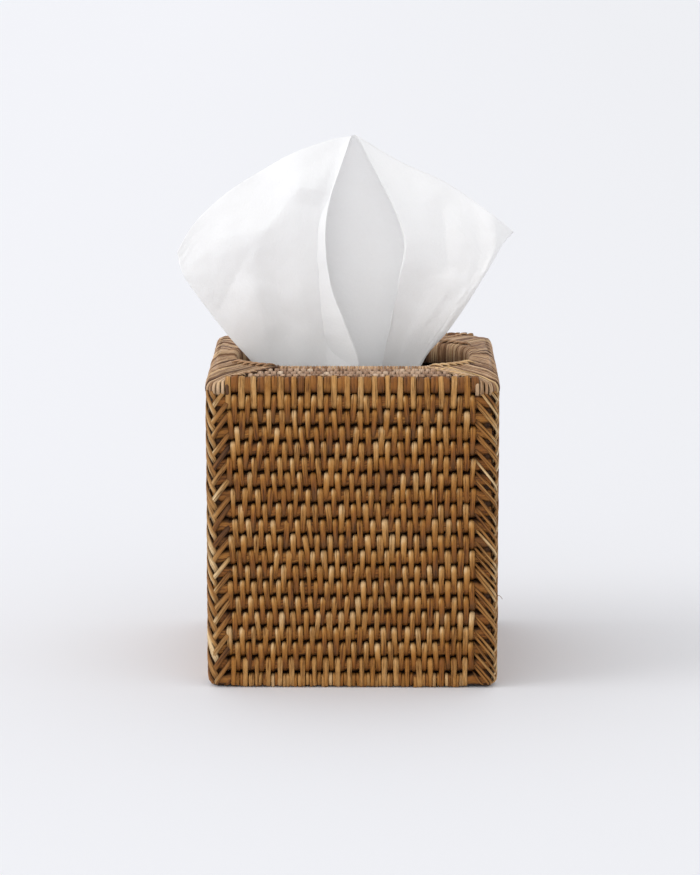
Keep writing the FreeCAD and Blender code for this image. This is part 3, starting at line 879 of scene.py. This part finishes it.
# %% [markdown]
# ## Both side rails
# Under the strands lies a rod. It could be left out, because they hide it nearly everywhere, but light
# would then shine through the gaps between them. The left rail is made like the right one, with strands
# of its own, and mirrored.

# %% Side rails

def rail_core():
    """The rod inside a side rail."""
    ys = np.linspace(-post_inner - 1, post_inner + 1, 24)
    path = np.stack([np.full(24, half_cover - 4.0), ys, np.full(24, cover_top - 4.2)], axis=1)[None]
    # The rod's depth value darkens it: painted shade, as it lies under the strands.
    return sweep(path, 6.0, 6.0, whole_rod, [0.25], out=upward, depth=0.8)


for name in ("right", "left"):
    batches = [rail_core(), fan_strands(fan_count)]
    if name == "left":
        batches = [mirrored(batch) for batch in batches]
    build_piece(name + "_rail_wrap", batches, wrap_cane, "rail_wrap_" + name)

# %% [markdown]
# ## The lip of the opening
# In front and behind, short strands wrap the lip closely, from the inside over the top and down to the
# mat. Under them lies a hoop. It is a plain ring swept round the opening, because only a hair of it shows
# between the strands, but without it one could look through the lip.

# %% Lip wraps and hoop
wrap_rows = [(3.4, 0.3), (1.9, 0.05), (0.7, 0.4), (0.05, 1.7), (0.0, 5.0), (0.1, 7.8), (0.7, 9.3), (1.9, 9.95),
             (3.4, 9.9), (4.7, 9.2), (5.3, 8.0), (5.35, 6.4)]
hoop_rows = [(29.2, 1.2), (28.5, 2.5), (28.5, 7.6), (29.2, 8.9), (31.6, 8.9), (32.6, 7.6), (32.6, 2.5),
             (31.6, 1.2)]


def lip_front():
    """Wraps of the lip's straight front part and the start of its corners, facing front."""
    spare = math.radians(12) * rim_inner_radius
    way = np.arange(-rim_arc_x - spare, rim_arc_x + spare, 1.5)
    turn = np.clip((np.abs(way) - rim_arc_x) / rim_inner_radius, 0, None) * np.sign(way)
    straight = np.clip(way, -rim_arc_x, rim_arc_x)
    out = np.stack([np.sin(turn), -np.cos(turn), np.zeros_like(turn)], axis=-1)
    inner = np.stack([straight, np.full_like(way, -rim_arc_y), np.zeros_like(way)], axis=-1)
    inner = inner + out * rim_inner_radius
    rows = []
    for away, level in wrap_rows:
        row = inner + out * away
        row[:, 2] = rim_low[2] + level
        rows.append(row)
    path = np.stack(rows, axis=1)
    side = np.stack([out[:, 1], -out[:, 0], np.zeros(len(way))], axis=-1)[:, None]
    depth = np.interp(np.arange(12), [0, 3, 6, 9, 11], [0.95, 0.75, 0.0, 0.1, 0.8])
    wide = 1.6 * random.normal(1, 0.08, (len(way), 1))
    return sweep(path, wide, 0.95, thin_cane, random.normal(0.55, 0.16, len(way)), side=side, depth=depth)


def lip_core():
    """The hoop inside the lip, a closed ring."""
    turn = np.linspace(0, 2 * math.pi, 97)[:-1]
    flat = np.stack([np.cos(turn), np.sin(turn)], axis=1)
    centre = np.stack([np.sign(flat[:, 0]) * rim_arc_x, np.sign(flat[:, 1]) * rim_arc_y], axis=1)
    centre[np.abs(flat[:, 0]) < 1e-6, 0] = 0
    centre[np.abs(flat[:, 1]) < 1e-6, 1] = 0
    ring = []
    for away, level in hoop_rows:
        spot = centre + flat * away
        ring.append(np.column_stack([spot, np.full(len(turn), rim_low[2] + level)]))
    ring = np.stack(ring, axis=1)
    number = np.arange(ring.shape[0] * ring.shape[1]).reshape(ring.shape[:2])
    far = np.roll(number, -1, 0)
    quads = np.stack([number, far, np.roll(far, -1, 1), np.roll(number, -1, 1)], axis=-1).reshape(-1, 4)
    grain = np.random.default_rng(2).uniform(0, 9, (number.size, 3))
    # A dark tone and depth: painted shade, as the hoop lies under the wraps.
    return plain_batch(ring.reshape(-1, 3), quads, grain, tone=0.2, depth=0.9)


lip = [lip_core()]
print("points round the hoop:", len(hoop_rows))

# %% [markdown]
# ## Cords and loops
# A loose twisted cord lies along each rounded corner of the lip and hides the ends of the fan, and a few loops
# cover the line where fan and mat meet. A twisted cord could be two long helices. Here only its upper side
# shows, so six slanting turns do the same with fewer faces. The front right ones are of newer, paler cane.

# %% Cords and loops

def corner_cord(tone=0.55):
    """The slanting turns of a cord along the front right corner of the lip."""
    turns = 6
    share = np.linspace(0, 1, 11)
    place = (np.arange(turns)[:, None] + 0.1 + 1.75 * share) / (turns + 1)
    turn = np.radians(-77 + 45 * place)
    out = np.stack([np.cos(turn), np.sin(turn), np.zeros_like(turn)], axis=-1)
    centre = np.array([rim_arc_x, -rim_arc_y, cover_top - 0.5])
    path = centre + out * (rim_outer_radius + 0.5 - 2.2 * np.cos(math.pi * share))[:, None]
    path[..., 2] += 2.3 * np.sin(math.pi * share) ** 0.7
    depth = np.interp(share, [0, 0.15, 0.4, 0.8, 1], [1.0, 0.5, 0.0, 0.1, 0.9])
    width = 2.5 * np.interp(share, [0, 0.2, 0.8, 1], [0.6, 1, 1, 0.6])
    return sweep(path, width, 1.1, split_cane, random.normal(tone, 0.05, turns), out=upward, depth=depth)


def mitre_loops(tone=0.6):
    """Short loops over the line where the fan meets the front mat, on the right."""
    loops = 7
    share = np.linspace(0, 1, 9)
    paths = []
    for number in range(loops):
        place = 0.06 + number / loops
        x = 40.5 + 16.5 * place
        y = -41.0 - 24.0 * place
        reach = 3.0 + 0.7 * math.sin(number * 2.3)
        along = np.array([0.90, -0.30 + 0.25 * math.sin(number * 1.7)])
        spot = np.array([x, y]) + (share[:, None] - 0.5) * 2 * reach * along
        height = cover_top - 0.6 + 1.35 * np.sin(math.pi * share) ** 0.6
        paths.append(np.column_stack([spot, height]))
    path = np.array(paths)
    depth = np.interp(share, [0, 0.15, 0.85, 1], [0.9, 0.1, 0.1, 0.9])
    return sweep(path, 1.7, 0.9, split_cane, random.normal(tone, 0.08, loops), out=upward, depth=depth)


lip += [lip_front(), corner_cord(0.92), mirrored(corner_cord()), mitre_loops(0.9), mirrored(mitre_loops())]
back_lip = [lip_front(), corner_cord(), mirrored(corner_cord()), mitre_loops(), mirrored(mitre_loops())]
lip += [mirrored(batch, 1) for batch in back_lip]
build_piece("opening_lip_wrap", lip, wrap_cane, "opening_rim")

# %% [markdown]
# ## The carton and its film
# The carton's own solid has the right shape, so it keeps its mesh and gets a coated card finish: nearly
# white, with faint fibres. The film is clear, with soft wrinkles that catch the light.

# %% Card and film materials

def card_finish():
    finish = Finish("coated_card")
    place = finish.node("TexCoord").outputs["Object"]
    cloud = finish.noise(place, 60.0, detail=3.0)
    fibres = finish.noise(place, 900.0, (1, 1, 0.3), detail=4.0, roughness=0.7)
    colour = finish.mix(cloud, srgb(232, 229, 222), srgb(241, 239, 234))
    colour = finish.mix(finish.span(fibres, 0.62, 0.75, 0.0, 0.35), colour, srgb(206, 198, 184))
    finish.set("Base Color", colour)
    finish.set("Roughness", finish.span(fibres, 0.3, 0.7, 0.42, 0.58))
    finish.bump(fibres, 0.2, 0.0001)
    return finish.material


def film_finish():
    finish = Finish("clear_wrinkled_film")
    place = finish.node("TexCoord").outputs["Object"]
    wrinkles = finish.noise(place, 70.0, (1, 2.5, 1), detail=3.0)
    finish.set("Base Color", finish.mix(wrinkles, srgb(246, 249, 250), srgb(236, 241, 244)))
    finish.set("Transmission Weight", 1.0)
    finish.set("IOR", 1.4)
    finish.set("Roughness", finish.span(wrinkles, 0.3, 0.7, 0.04, 0.12))
    finish.bump(wrinkles, 0.3, 0.0006)
    return finish.material


for node, material in (("carton", card_finish()), ("carton_film", film_finish())):
    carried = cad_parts[node]
    carried.data.materials.clear()
    carried.data.materials.append(material)
print("carton and film finished")

# %% [markdown]
# ## Tissue paper
# Tissue is white, soft and thin enough to let some light through. It could be made see-through, but the
# folds would then lose their shade. So a little light goes under the surface, and a fine crepe in the
# bump breaks the shine. The folds themselves are real geometry.

# %% Tissue material

def tissue_finish():
    finish = Finish("soft_tissue")
    place = finish.attribute("grain").outputs["Vector"]
    crepe = finish.noise(place, 1.0, (1.4, 0.5, 1.0), detail=4.0, roughness=0.65)
    cloud = finish.noise(place, 1.0, (0.05, 0.05, 1.0), detail=2.0)
    colour = finish.mix(cloud, srgb(251, 251, 252), srgb(254, 254, 254))
    # The crepe's low parts are a little greyer: painted shade in its hollows.
    colour = finish.mix(finish.span(crepe, 0.35, 0.6, 0.08, 0.0), colour, srgb(236, 237, 240))
    finish.set("Base Color", colour)
    finish.set("Roughness", finish.span(crepe, 0.3, 0.7, 0.95, 0.85))
    finish.set("Specular IOR Level", 0.2)
    finish.set("Subsurface Weight", 0.15)
    finish.set("Subsurface Radius", (0.001, 0.001, 0.001))
    finish.set("Subsurface Scale", 1.0)
    finish.bump(crepe, 0.5, 0.0004)
    return finish.material


soft_tissue = tissue_finish()
print("finish made:", soft_tissue.name)

# %% [markdown]
# ## The folded tissues in the carton
# In a cube carton the pile is bent over like an arch, so its ends show the folds as nested arches. One
# block with lines in its bump would do from afar, but the slit lets one look in. So each fold is its own
# closed slab, a hair apart from the next, and no two end at quite the same place.

# %% Tissue pile

pile_bend = 22.0
slab_gap = 0.22


def pile_slab(number, count):
    """One arched slab of the pile, as a ring of points at each of several places along it."""
    half_depth = (stack_high[1] - stack_low[1]) / 2
    slab = half_depth / count
    outer, inner = half_depth - number * slab, half_depth - (number + 1) * slab + slab_gap
    inner = max(inner, 0.15)
    top_outer, top_inner = stack_high[2] - number * slab, stack_high[2] - (number + 1) * slab + slab_gap
    foot = stack_low[2]

    def arch(half, top):
        bend = max(pile_bend - (half_depth - half), min(2.0, half * 0.8))
        turn = np.linspace(0, math.pi / 2, 7)
        left = np.column_stack([-half + bend - bend * np.cos(turn), top - bend + bend * np.sin(turn)])
        right = left[::-1] * (-1, 1)
        middle = (foot + top) / 2
        return np.concatenate([[(-half, foot), (-half, middle)], left, right, [(half, middle), (half, foot)]])

    ring = np.concatenate([arch(outer, top_outer), arch(inner, top_inner)[::-1]])
    places = np.linspace(stack_low[0], stack_high[0], 12)
    places[0] += 0.5 * abs(math.sin(number * 2.7))
    places[-1] -= 0.5 * abs(math.sin(number * 1.9 + 1))
    points = np.array([np.column_stack([np.full(len(ring), x), ring]) for x in places])
    index = np.arange(points.shape[0] * points.shape[1]).reshape(points.shape[:2])
    near, far = index[:-1], index[1:]
    quads = np.stack([near, np.roll(near, -1, 1), np.roll(far, -1, 1), far], axis=-1).reshape(-1, 4)
    half_ring = len(ring) // 2
    strip = np.arange(half_ring - 1)
    twin = len(ring) - 1 - strip
    ends = np.stack([strip, strip + 1, twin - 1, twin], axis=-1)
    caps = np.concatenate([index[0][ends][:, ::-1], index[-1][ends]])
    points = points.reshape(-1, 3)
    return plain_batch(points, np.concatenate([quads, caps]), points + number * 17.0)


slab_count = 16
build_piece("tissue_pile", [pile_slab(number, slab_count) for number in range(slab_count)], soft_tissue,
            "tissue_stack")

# %% [markdown]
# ## The pulled-up tissue
# One square sheet, gathered through the slit and opening into a fan with a tall fold in its middle. It
# could be simulated, but the photograph shows one set of folds and a simulation would find others. So the
# folds are drawn as lines from the slit up to the edge, much the same lines as in the solid.

# %% Fold lines of the sheet
sheet_unit = 2.0
# Each line has a name, its place in the open slit from front to back, and points that give, in units,
# how far it is to the right, to the back and above the cover's top.
fold_lines = [
    ("left edge", 0,
     [(-25, 0, -2), (-31, -1, 5), (-37, -2, 13), (-42, -2.5, 20.5), (-43.5, -2, 26)]),
    ("left wing", 0.06,
     [(-22.5, -0.5, -2), (-27, -1.5, 6.5), (-32, -2.5, 16), (-37, -2.5, 25.5), (-40, -1.5, 32)]),
    ("left belly", 0.09,
     [(-19.5, -0.5, -2), (-22, -2, 7.5), (-25.5, -3.5, 18.5), (-29, -3.5, 29), (-32.5, -0.5, 39.5)]),
    ("left inner", 0.09,
     [(-15.5, -0.5, -2), (-17, -1.5, 7.5), (-19, -2.5, 18), (-21.5, -3.5, 30), (-22.5, 0.5, 46)]),
    ("left crease", 0,
     [(-11.5, -1, -2), (-11.5, -2, 7.5), (-12.5, -2.9, 18), (-13, -3.2, 35), (-13, 0, 51)]),
    ("strip left", 0.06,
     [(-6.8, -1, -2), (-6.1, -1.7, 8.5), (-6.6, -2.4, 18.5), (-8.2, -2.8, 35), (-4, -0.4, 54)]),
    ("strip ridge", 0.29,
     [(1.6, -7.8, -2), (-1.8, -6.8, 8.5), (-5.6, -4.7, 19), (-6.5, -4.2, 35), (-0.4, -1.2, 54.6)]),
    ("left valley", -0.17,
     [(-7, 1.2, -2), (-11, 1.4, 7), (-14.5, 1.6, 17.5), (-12.5, 1.4, 34), (-0.2, 0.5, 54.6)]),
    ("centre panel", -0.23,
     [(2, 1.2, -2), (1.5, 1.7, 7.5), (1, 2.2, 17.5), (0.5, 2.2, 34.5), (0.2, 0.8, 54.6)]),
    ("right valley", -0.17,
     [(12, 1.4, -2), (15.5, 1.7, 7.5), (18.5, 2.2, 17.5), (16, 1.8, 33.5), (0.6, 0.5, 54.6)]),
    ("right ridge", 0.23,
     [(7, -2, -2), (9, -2.5, 8.5), (11, -3, 19), (12.3, -3.4, 31), (0.9, -1, 54.6)]),
    ("right dent", 0.06,
     [(10, -0.5, -2), (14.5, -1.4, 8.5), (18, -2.1, 18), (19.5, -3, 30.5), (12, -0.4, 48)]),
    ("right wing", 0,
     [(12.5, 0, -2), (18.5, -1.5, 8.5), (24, -2.8, 18), (26.5, -3.4, 29), (22, -0.2, 43.5)]),
    ("right outer", -0.06,
     [(15, 0.5, -2), (21, -1.5, 7), (27, -2.9, 16), (31, -3.2, 25.5), (29, -1.2, 39)]),
    ("right fold", -0.06,
     [(16.5, 0.5, -2), (22, -1.5, 6.5), (28.5, -3.1, 15.5), (34.4, -3.9, 26), (34.6, -2.6, 35)]),
    ("right edge", 0,
     [(17.5, 1, -1.5), (23.5, -1, 6.5), (30, -2, 16), (36, -1.5, 26.5), (39.5, 2.5, 30.5)]),
]
print("fold lines:", len(fold_lines))

# %% [markdown]
# ## From the pile to the slit
# Only the upper half of the sheet shows. It could end at the slit, but then it would hang from nothing
# when one looks in from above. So each line goes on below the slit, where it is gathered, over the top
# of the pile and down its front, where the sheet's other half still lies.

# %% From the pile to the edge
film_level = node_box("carton_film")[0][2]
slit_left, slit_right, slit_half_opening = -33.0, 29.0, 3.5
seat = 0.6
half_sheet_on_pile, sheet_foot, sheet_tail = 49.0, 9.0, 58.0
foot_row = 9  # the last row of points that lies on the pile


def fold_grid():
    """Points on the fold lines: up the front of the pile, over it, to the slit and up to the edge."""
    grid = []
    last = len(fold_lines) - 1
    radius = pile_bend + seat
    centre_y, centre_z = stack_low[1] + pile_bend, stack_high[2] - pile_bend
    for number, (_, forward, points) in enumerate(fold_lines):
        flat = half_sheet_on_pile * (2 * number / last - 1)
        column = [(flat, centre_y - radius, centre_z - sheet_tail * share) for share in (1, 0.66, 0.33, 0)]
        column += [(flat, centre_y - radius * math.cos(turn), centre_z + radius * math.sin(turn))
                   for turn in np.radians((22.5, 45, 67.5, 90))]
        column += [(flat, -18.0, stack_high[2] + seat), (flat, -sheet_foot, stack_high[2] + seat)]
        slit_x = slit_left + (slit_right - slit_left) * number / last
        column.append((slit_x, -forward * slit_half_opening, film_level))
        column += [(x * sheet_unit, y * sheet_unit, cover_top + rise * sheet_unit) for x, y, rise in points]
        grid.append(column)
    return np.array(grid)


print("points on each line:", fold_grid().shape[1])

# %% [markdown]
# ## A smooth sheet over the lines
# The sheet has to pass through all the lines without corners. A subdivision surface would round the folds
# off, so smooth curves are run through the points instead, first up along each line and then across from
# line to line. Across, the curve may not swing past its points, or the sheet would bulge beside a fold.

# %% Smooth sheet

def soft_steps(values, knots, places, calm=False):
    """Values along knots, read at places, on a smooth curve. A calm one never swings past its knots."""
    slopes = np.diff(values, axis=0) / np.diff(knots).reshape(-1, *[1] * (values.ndim - 1))
    before, after = slopes[:-1], slopes[1:]
    middle = (before + after) / 2
    if calm:
        same_way = before * after > 0
        middle = np.where(same_way, 2 * before * after / np.where(same_way, before + after, 1), 0)
    tangents = np.concatenate([slopes[:1], middle, slopes[-1:]])
    spot = np.clip(np.searchsorted(knots, places, side="right") - 1, 0, len(knots) - 2)
    gap = knots[spot + 1] - knots[spot]
    t = (places - knots[spot]) / gap
    shape = (-1,) + (1,) * (values.ndim - 1)
    t, gap = t.reshape(shape), gap.reshape(shape)
    a, b = values[spot], values[spot + 1]
    ta, tb = tangents[spot], tangents[spot + 1]
    return ((2 * t ** 3 - 3 * t ** 2 + 1) * a + (t ** 3 - 2 * t ** 2 + t) * gap * ta
            + (-2 * t ** 3 + 3 * t ** 2) * b + (t ** 3 - t ** 2) * gap * tb)


hidden_steps, shown_steps, cross_steps = 25, 150, 226


def build_sheet():
    """The sheet's grid of points, with their places across the lines and up them."""
    coarse = fold_grid()
    lines, rows = coarse.shape[:2]
    row_knots = np.concatenate([[0], np.cumsum(np.linalg.norm(np.diff(coarse.mean(axis=0), axis=0), axis=1))])
    hidden_rows = np.linspace(0, row_knots[foot_row], hidden_steps + 1)[:-1]
    shown_rows = np.linspace(row_knots[foot_row], row_knots[-1], shown_steps)
    row_places = np.concatenate([hidden_rows, shown_rows])
    tall = soft_steps(np.swapaxes(coarse, 0, 1), row_knots, row_places)
    line_knots = np.arange(lines, dtype=float)
    line_places = np.linspace(0, lines - 1, cross_steps)
    wide = soft_steps(np.swapaxes(tall, 0, 1), line_knots, line_places, calm=True)
    for _ in range(3):
        wide[1:-1] = (wide[:-2] + 2 * wide[1:-1] + wide[2:]) / 4
    return wide, line_places, row_places, row_knots


sheet_middle, sheet_across, sheet_up, sheet_knots = build_sheet()
print("sheet grid", sheet_middle.shape)

# %% [markdown]
# ## Creases
# Tissue that was folded flat and then pulled keeps a few long creases. They could be more fold lines, but
# a crease seldom runs along a line from the slit. So each is a move of the grid's points: it stands
# forward between two points of the front view, and the sheet falls away from it on both sides.

# %% Creases

def fold_over(points, start, stop, forward, above, below, lines):
    """A soft crease between two points of the front view: it stands forward, and the sheet falls away
    from it on both sides. start and stop are (x, rise) in the fold lines' units, lines is the range of
    fold lines that it crosses."""
    first, last = np.array(start) * sheet_unit, np.array(stop) * sheet_unit
    spot = np.stack([points[..., 0], points[..., 2] - cover_top], axis=-1) - first
    run = last - first
    length = np.linalg.norm(run)
    run = run / length
    along = spot @ run
    off = spot @ np.array([-run[1], run[0]]) * (1 if run[0] > 0 else -1)
    end = np.clip(along, 0, length)
    past = np.abs(along - end)
    reach = (below + (above - below) * np.clip(off / 4.0 + 0.5, 0, 1)) * sheet_unit
    share = np.clip(1 - np.hypot(off, past) / reach, 0, 1)
    inside = np.clip(sheet_across - lines[0] + 0.5, 0, 1) * np.clip(lines[1] + 0.5 - sheet_across, 0, 1)
    return forward * sheet_unit * share ** 1.3 * inside[:, None]


# Start, stop, how far forward, how far it reaches above and below, and the fold lines that it crosses.
creases = [
    ((-7.0, 41.5), (-13.0, 42.3), 1.2, 9.0, 4.5, (2, 5)),
    ((-13.0, 42.3), (-21.4, 32.0), 0.6, 8.0, 5.0, (1, 4)),
    ((-21.4, 32.0), (-24.5, 25.0), 0.5, 6.0, 6.0, (0, 3)),
    ((-33.0, 12.0), (-27.0, 24.0), -0.6, 5.0, 6.0, (0, 3)),
    ((22.0, 36.0), (23.0, 23.0), -0.9, 6.0, 5.0, (11, 15)),
    ((14.0, 22.0), (24.0, 19.0), 0.2, 5.0, 5.0, (10, 15)),
    ((-20.0, 8.0), (-24.0, 16.0), 0.5, 5.0, 5.0, (1, 4)),
]
print("creases:", len(creases))

# %% [markdown]
# ## Crumple
# Between its creases the sheet is softly crumpled everywhere. That could be left to the bump, but its
# shadows would be missing at the edge. So three noises, from broad to fine, push the sheet in and out.
# The creases and the crumple fade out towards the slit, where the sheet is pulled tight.

# %% Crumple

def grid_normals(points):
    across = np.gradient(points, axis=0)
    up = np.gradient(points, axis=1)
    return unit(np.cross(across, up))


def smooth_field(u, v, size_u, size_v, seed):
    return np.array([[noise.noise(Vector((a * size_u, b * size_v, seed))) for b in v] for a in u])


def crinkled(points):
    """The sheet with its creases and crumple, which fade out towards the slit."""
    u = sheet_across / sheet_across[-1]
    v = (sheet_up - sheet_knots[foot_row]) / (sheet_up[-1] - sheet_knots[foot_row])
    above = np.clip(v, 0, 1)
    vv = np.broadcast_to(v, (len(u), len(v)))
    pull = np.clip((vv - 0.22) / 0.25, 0, 1)
    moved = points.copy()
    for crease in creases:
        moved[..., 1] -= fold_over(points, *crease) * pull
    fan = smooth_field(u, above, 17, 1.2, 3.1) * (1 - 0.6 * np.clip(vv, 0, 1))
    crumple = smooth_field(u, above, 9, 6, 8.7)
    fine = smooth_field(u, above, 34, 22, 15.3)
    move = pull * (0.5 * fan + 0.85 * crumple + 0.24 * fine)
    return moved + grid_normals(moved) * move[..., None]


sheet_points = crinkled(sheet_middle)
largest_move = float(np.abs(sheet_points - sheet_middle).max())
print("largest move of a point:", round(largest_move, 1), "mm")

# %% [markdown]
# ## A sheet with two sides
# A single layer of faces has no thickness and looks wrong at its edge. A Solidify modifier would give it
# one, and here the arrays do the same: one layer a little forward, one a little back, and a narrow strip
# of faces round the rim that closes them.

# %% Pulled tissue
half_ply = 0.09
sheet_side = 200


def shell(points, half_thick):
    """A closed thin sheet round the grid's points."""
    columns, rows = points.shape[:2]
    normal = grid_normals(points)
    front, back = points + normal * half_thick, points - normal * half_thick
    index = np.arange(columns * rows).reshape(columns, rows)
    twin = index + columns * rows
    a, b, c, d = index[:-1, :-1], index[1:, :-1], index[1:, 1:], index[:-1, 1:]
    faces = [np.stack([a, b, c, d], -1).reshape(-1, 4)]
    a, b, c, d = twin[:-1, :-1], twin[1:, :-1], twin[1:, 1:], twin[:-1, 1:]
    faces.append(np.stack([d, c, b, a], -1).reshape(-1, 4))
    rim = np.concatenate([index[:, 0], index[-1, 1:], index[-2::-1, -1], index[0, -2:0:-1]])
    edge = np.stack([np.roll(rim, -1), rim, rim + columns * rows, np.roll(rim, -1) + columns * rows], -1)
    faces.append(edge)
    u, v = np.meshgrid(np.linspace(0, sheet_side, columns), np.linspace(0, sheet_side, rows), indexing="ij")
    grain = np.stack([u, v, np.zeros_like(u)], -1).reshape(-1, 3)
    both = np.concatenate([front.reshape(-1, 3), back.reshape(-1, 3)])
    return plain_batch(both, np.concatenate(faces), np.concatenate([grain, grain]))


tissue = build_piece("pulled_tissue", [shell(sheet_points, half_ply)], soft_tissue, "tissue")

# %% [markdown]
# ## The floor
# The object stands on a plain pale floor that runs far back, so no edge of it shows. A white backdrop that
# curves up would do as well from the front, but a flat floor looks right from every side.

# %% Floor

def floor_finish():
    finish = Finish("pale_floor")
    place = finish.node("TexCoord").outputs["Object"]
    sideways = finish.node("SeparateXYZ", Vector=place).outputs[0]
    drift = finish.noise(place, 1.2, detail=1.0)
    # The floor is a little brighter on the left than on the right: painted light, falling from the left.
    colour = finish.mix(finish.span(sideways, -0.35, 0.45, 0.0, 1.0), srgb(241, 242, 247), srgb(236, 237, 241))
    finish.set("Base Color", finish.mix(finish.span(drift, 0.3, 0.7, 0.0, 0.12), colour, srgb(238, 239, 243)))
    finish.set("Roughness", 0.9)
    finish.set("Specular IOR Level", 0.1)
    return finish.material


def make_floor():
    half_side, steps = 20.0, 8
    row = steps + 1
    spots = [(-half_side + 2 * half_side * i / steps, -half_side + 2 * half_side * j / steps, 0.0)
             for i in range(row) for j in range(row)]
    faces = [(i * row + j, (i + 1) * row + j, (i + 1) * row + j + 1, i * row + j + 1)
             for i in range(steps) for j in range(steps)]
    mesh = bpy.data.meshes.new("floor")
    mesh.from_pydata(spots, [], faces)
    mesh.materials.append(floor_finish())
    floor = bpy.data.objects.new("floor", mesh)
    bpy.context.scene.collection.objects.link(floor)


make_floor()
print("floor laid")

# %% [markdown]
# ## Sky and light
# The light of the photograph is a bright room with one broad window, low on the left and a little in
# front. Area lamps would need careful places. A sky that is a little brighter on the left and one very
# wide sun give the same soft shadow to the right from fewer parts. The levels are such that the floor
# shows at the value its colour is written in, and the sky shows its own pale colour where it is seen.

# %% Sky and light

def make_sky():
    """An even studio sky: a little brighter towards the horizon and on the left, and pale wherever it is seen
    itself.
    """
    world = bpy.data.worlds.new("studio")
    world.use_nodes = True
    sky = Nodes(world.node_tree)
    toward_x, _, toward_z = sky.node("SeparateXYZ", Vector=sky.node("TexCoord").outputs["Generated"]).outputs
    overhead = sky.span(toward_z, 0.0, 1.0, 0.96, 0.87)
    leftward = sky.span(toward_x, -1.0, 1.0, 1.13, 0.87)
    strength = sky.node("Math", {"operation": "MULTIPLY"}, i0=overhead, i1=leftward).outputs[0]
    lit = sky.tree.nodes["Background"]
    lit.inputs["Color"].default_value = (1, 1, 1, 1)
    sky.tree.links.new(strength, lit.inputs["Strength"])
    seen = sky.node("Background", Color=srgb(239, 240, 244))
    rays = sky.node("LightPath").outputs
    direct = rays["Is Camera Ray"]
    for kind in ("Is Glossy Ray", "Is Transmission Ray"):
        direct = sky.node("Math", {"operation": "MAXIMUM"}, i0=direct, i1=rays[kind]).outputs[0]
    mixed = sky.node("MixShader", i0=direct, i1=lit.outputs[0], i2=seen.outputs[0])
    sky.tree.links.new(mixed.outputs[0], sky.tree.nodes["World Output"].inputs["Surface"])
    bpy.context.scene.world = world


make_sky()
sun_data = bpy.data.lights.new("key", "SUN")
sun_data.energy = 0.8
sun_data.angle = math.radians(38)
sun = bpy.data.objects.new("key", sun_data)
toward = Vector((-0.86, -0.20, 0.50)).normalized()
sun.rotation_euler = toward.to_track_quat("Z", "Y").to_euler()
bpy.context.scene.collection.objects.link(sun)
print("sun", round(sun_data.energy, 2), "as wide as", round(math.degrees(sun_data.angle)), "degrees")
